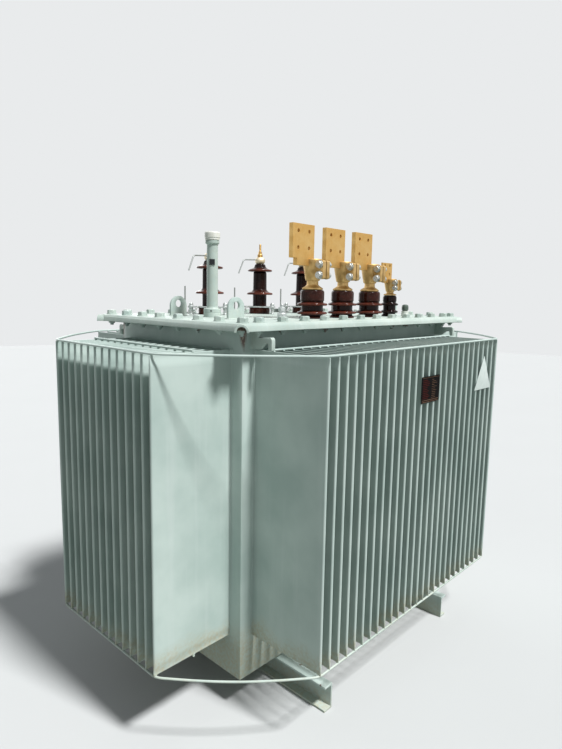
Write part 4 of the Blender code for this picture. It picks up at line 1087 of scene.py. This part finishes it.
# %% Pocket and plug
rings_profile = [
    (0.0, 0.0), (0.017, 0.0), (0.017, 0.006), (0.0158, 0.0075), (0.017, 0.009), (0.017, 0.014),
    (0.0158, 0.0155), (0.0166, 0.017), (0.0166, 0.0235), (0.0, 0.0235),
]
screw_dome_profile = [
    (0.0, 0.0236), (0.0125, 0.0236), (0.0125, 0.027), (0.0150, 0.0285), (0.0155, 0.031),
    (0.0155, 0.043), (0.0135, 0.0500), (0.0078, 0.0535), (0.0, 0.0540),
]
plug_foot_profile = [(0.0, 0.0), (0.017, 0.0), (0.017, 0.022), (0.0155, 0.0243), (0.0098, 0.0245),
                     (0.0098, 0.029), (0.0, 0.029)]
mount_piece("pocket_rings", turned_mesh(rings_profile, ease=0.0008), ring_plastic,
            at=standing("thermometer_pocket"), stands_for="thermometer_pocket")
mount_piece("pocket_dome", turned_mesh(screw_dome_profile), fitting_plastic,
            at=standing("thermometer_pocket"))
plug_head = hex_mesh(0.0235, 0.016, bore=0.0062, stub=0.009)
plug_mesh = joined_mesh([(turned_mesh(plug_foot_profile, ease=0.001), IN_PLACE),
                         (plug_head, moved(0.0, 0.0, 0.0289))])
mount_piece("vent_plug_turned", plug_mesh, dipped_zinc,
            at=standing("vent_plug"), stands_for="vent_plug")
print("pocket dome top", screw_dome_profile[-1][1], "above the cover")

# %% [markdown]
# ## Plates on the front fins
# The rating plate is etched aluminium: a black ground, red-brown bars on the left, short bare
# bars on the right and three ruled lines. The triangle is a plain white plate.

# %% Blank rating plate and triangle
plate_black = moulded_plastic("etched_black_aluminium", "#060505", "#0d0b0a", 0.65, 0.06)
plate_panel = moulded_plastic("etched_red_brown_panel", "#380f0b", "#481a14", 0.65, 0.06)
plate_bare = moulded_plastic("bare_aluminium_rule", "#5f4534", "#7a5c46", 0.55, 0.15)
plate_white = moulded_plastic("enamelled_white_sheet", "#cad4d0", "#bec9c5", 0.40)
dress("triangle_plate", plate_white, 0.0004)
low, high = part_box("nameplate")
width, height, face = high.x - low.x, high.z - low.z, low.y + 0.0005
sheet = plate_mesh([eased_loop(rectangle(0.0, 0.0, width, height), 0.005)], high.y - face, 0.0003)
mount_piece("nameplate_sheet", sheet, plate_black,
            at=moved(low.x, (face + high.y) / 2, low.z) @ UPRIGHT, stands_for="nameplate")


def strip(x0, z0, x1, z1, lift):
    """A raised rectangle on the plate, given in shares of its width and height."""
    outline = rectangle(x0 * width, z0 * height, x1 * width, z1 * height)
    return plate_mesh([outline], 2 * lift, lift / 3), moved(low.x, face, low.z) @ UPRIGHT


RULE_LIFT, BAR_LIFT = 0.0003, 0.0002
ENTRY_ROWS, ENTRY_PITCH = 11, 0.068
rules = [strip(0.05, z0, 0.95, z1, RULE_LIFT)
         for z0, z1 in ((0.095, 0.115), (0.030, 0.048), (0.945, 0.955))]
rng = random.Random(11)
entries = []
for z in [0.17 + row * ENTRY_PITCH for row in range(ENTRY_ROWS)]:
    reach = rng.uniform(0.30, 0.46)
    rules.append(strip(0.56, z, 0.56 + rng.uniform(0.12, 0.30), z + 0.012, BAR_LIFT))
    entries.append(strip(0.07, z - 0.004, reach, z + 0.026, RULE_LIFT))
mount_piece("nameplate_rules", joined_mesh(rules), plate_bare)
mount_piece("nameplate_panel", joined_mesh(entries), plate_panel)
print("blank rows on the rating plate:", ENTRY_ROWS)

# %% [markdown]
# ## Floor and light
# A plain pale floor keeps the shadow. One soft key light from high in front and an even
# pale sky light the steel at a level where a colour renders about as it is written. The fin tips
# catch the key light while their flanks stay in half-shade, which is how such a wall reads
# outdoors. A weak fill lamp from low behind keeps the back readable. The eye sees floor and sky
# pale, but the light that they throw on the steel is that of a duller yard.

# %% Stage
def seen_directly(tree):
    """1 for what the camera sees straight, in a mirror or through glass, and 0 for its light."""
    rays = add(tree, "LightPath").node.outputs
    seen = add(tree, "Math", rays["Is Camera Ray"], rays["Is Glossy Ray"], operation="MAXIMUM")
    return add(tree, "Math", seen, rays["Is Transmission Ray"], operation="MAXIMUM")


def plain_stage(name, colour, bounce, roughness):
    """A pale floor to look at, which throws light back like a duller one of the bounce colour."""
    material, node, where = start_material(name)
    cloud = node("TexNoise", Vector=where, Scale=1.5, Detail=4.0)
    darker = [share * 0.97 for share in linear(colour)[:3]] + [1.0]
    mixed = node("Mix", cloud, colour, darker, data_type="RGBA")
    lighting = node("Mix", seen_directly(material.node_tree), bounce, mixed, data_type="RGBA")
    return finish_material(material, Base_Color=lighting, Roughness=roughness)


bm = bmesh.new()
bmesh.ops.create_circle(bm, cap_ends=True, segments=96, radius=14.0)
floor_mesh = bpy.data.meshes.new("studio_floor")
bm.to_mesh(floor_mesh)
bm.free()
floor_mesh.materials.append(plain_stage("pale_studio_floor", "#bfc1c1", "#8f9691", 0.9))
floor = in_scene("studio_floor", floor_mesh)

world = bpy.data.worlds.new("studio_sky")
bpy.context.scene.world = world
world.use_nodes = True
sky = world.node_tree
thrown = sky.nodes["Background"]
fill(sky, [(thrown.inputs["Color"], "#e6edf2"), (thrown.inputs["Strength"], 0.245)])
shown = add(sky, "Background", Color="#e9ebec", Strength=1.0)
mixed = add(sky, "MixShader", seen_directly(sky), thrown.outputs[0], shown)
sky.links.new(mixed, sky.nodes["World Output"].inputs["Surface"])


def sun_lamp(name, energy, spread, towards):
    """A distant lamp that shines from the direction towards; its spread softens the shadows."""
    lamp = put(bpy.data.lights.new(name, "SUN"), energy=energy, angle=math.radians(spread))
    put(in_scene(name, lamp), rotation_euler=Vector(towards).to_track_quat("Z", "Y").to_euler())


KEY_FROM = (0.07, -0.52, 0.85)
FILL_FROM = (0.25, 0.95, 0.18)
sun_lamp("key_light", 4.9, 8, KEY_FROM)
sun_lamp("back_fill_light", 0.9, 45, FILL_FROM)
print("key light", round(math.degrees(math.asin(Vector(KEY_FROM).normalized().z))), "degrees up")

# %% [markdown]
# ## Camera
# The camera stands where the photograph was taken, a little above the cover. It looks along its
# yaw and pitch, and the picture leans by the roll.

# %% Camera
CAMERA_AT = (-1.857, -1.663, 1.4313)
CAMERA_YAW = math.radians(43.2845)
CAMERA_PITCH = math.radians(-8.0252)
CAMERA_ROLL = math.radians(-1.0582)
lens = put(bpy.data.cameras.new("photo_camera"), lens=27.08, sensor_width=36.0)
camera = in_scene("photo_camera", lens)
level_view = spun(CAMERA_YAW - math.pi / 2) @ spun(CAMERA_PITCH + math.pi / 2, "X")
camera.matrix_world = moved(*CAMERA_AT) @ level_view @ spun(-CAMERA_ROLL)
bpy.context.scene.camera = camera
bpy.context.scene.view_settings.view_transform = "Standard"
print("camera", round(Vector(CAMERA_AT).length, 2), "m from the tank's foot")
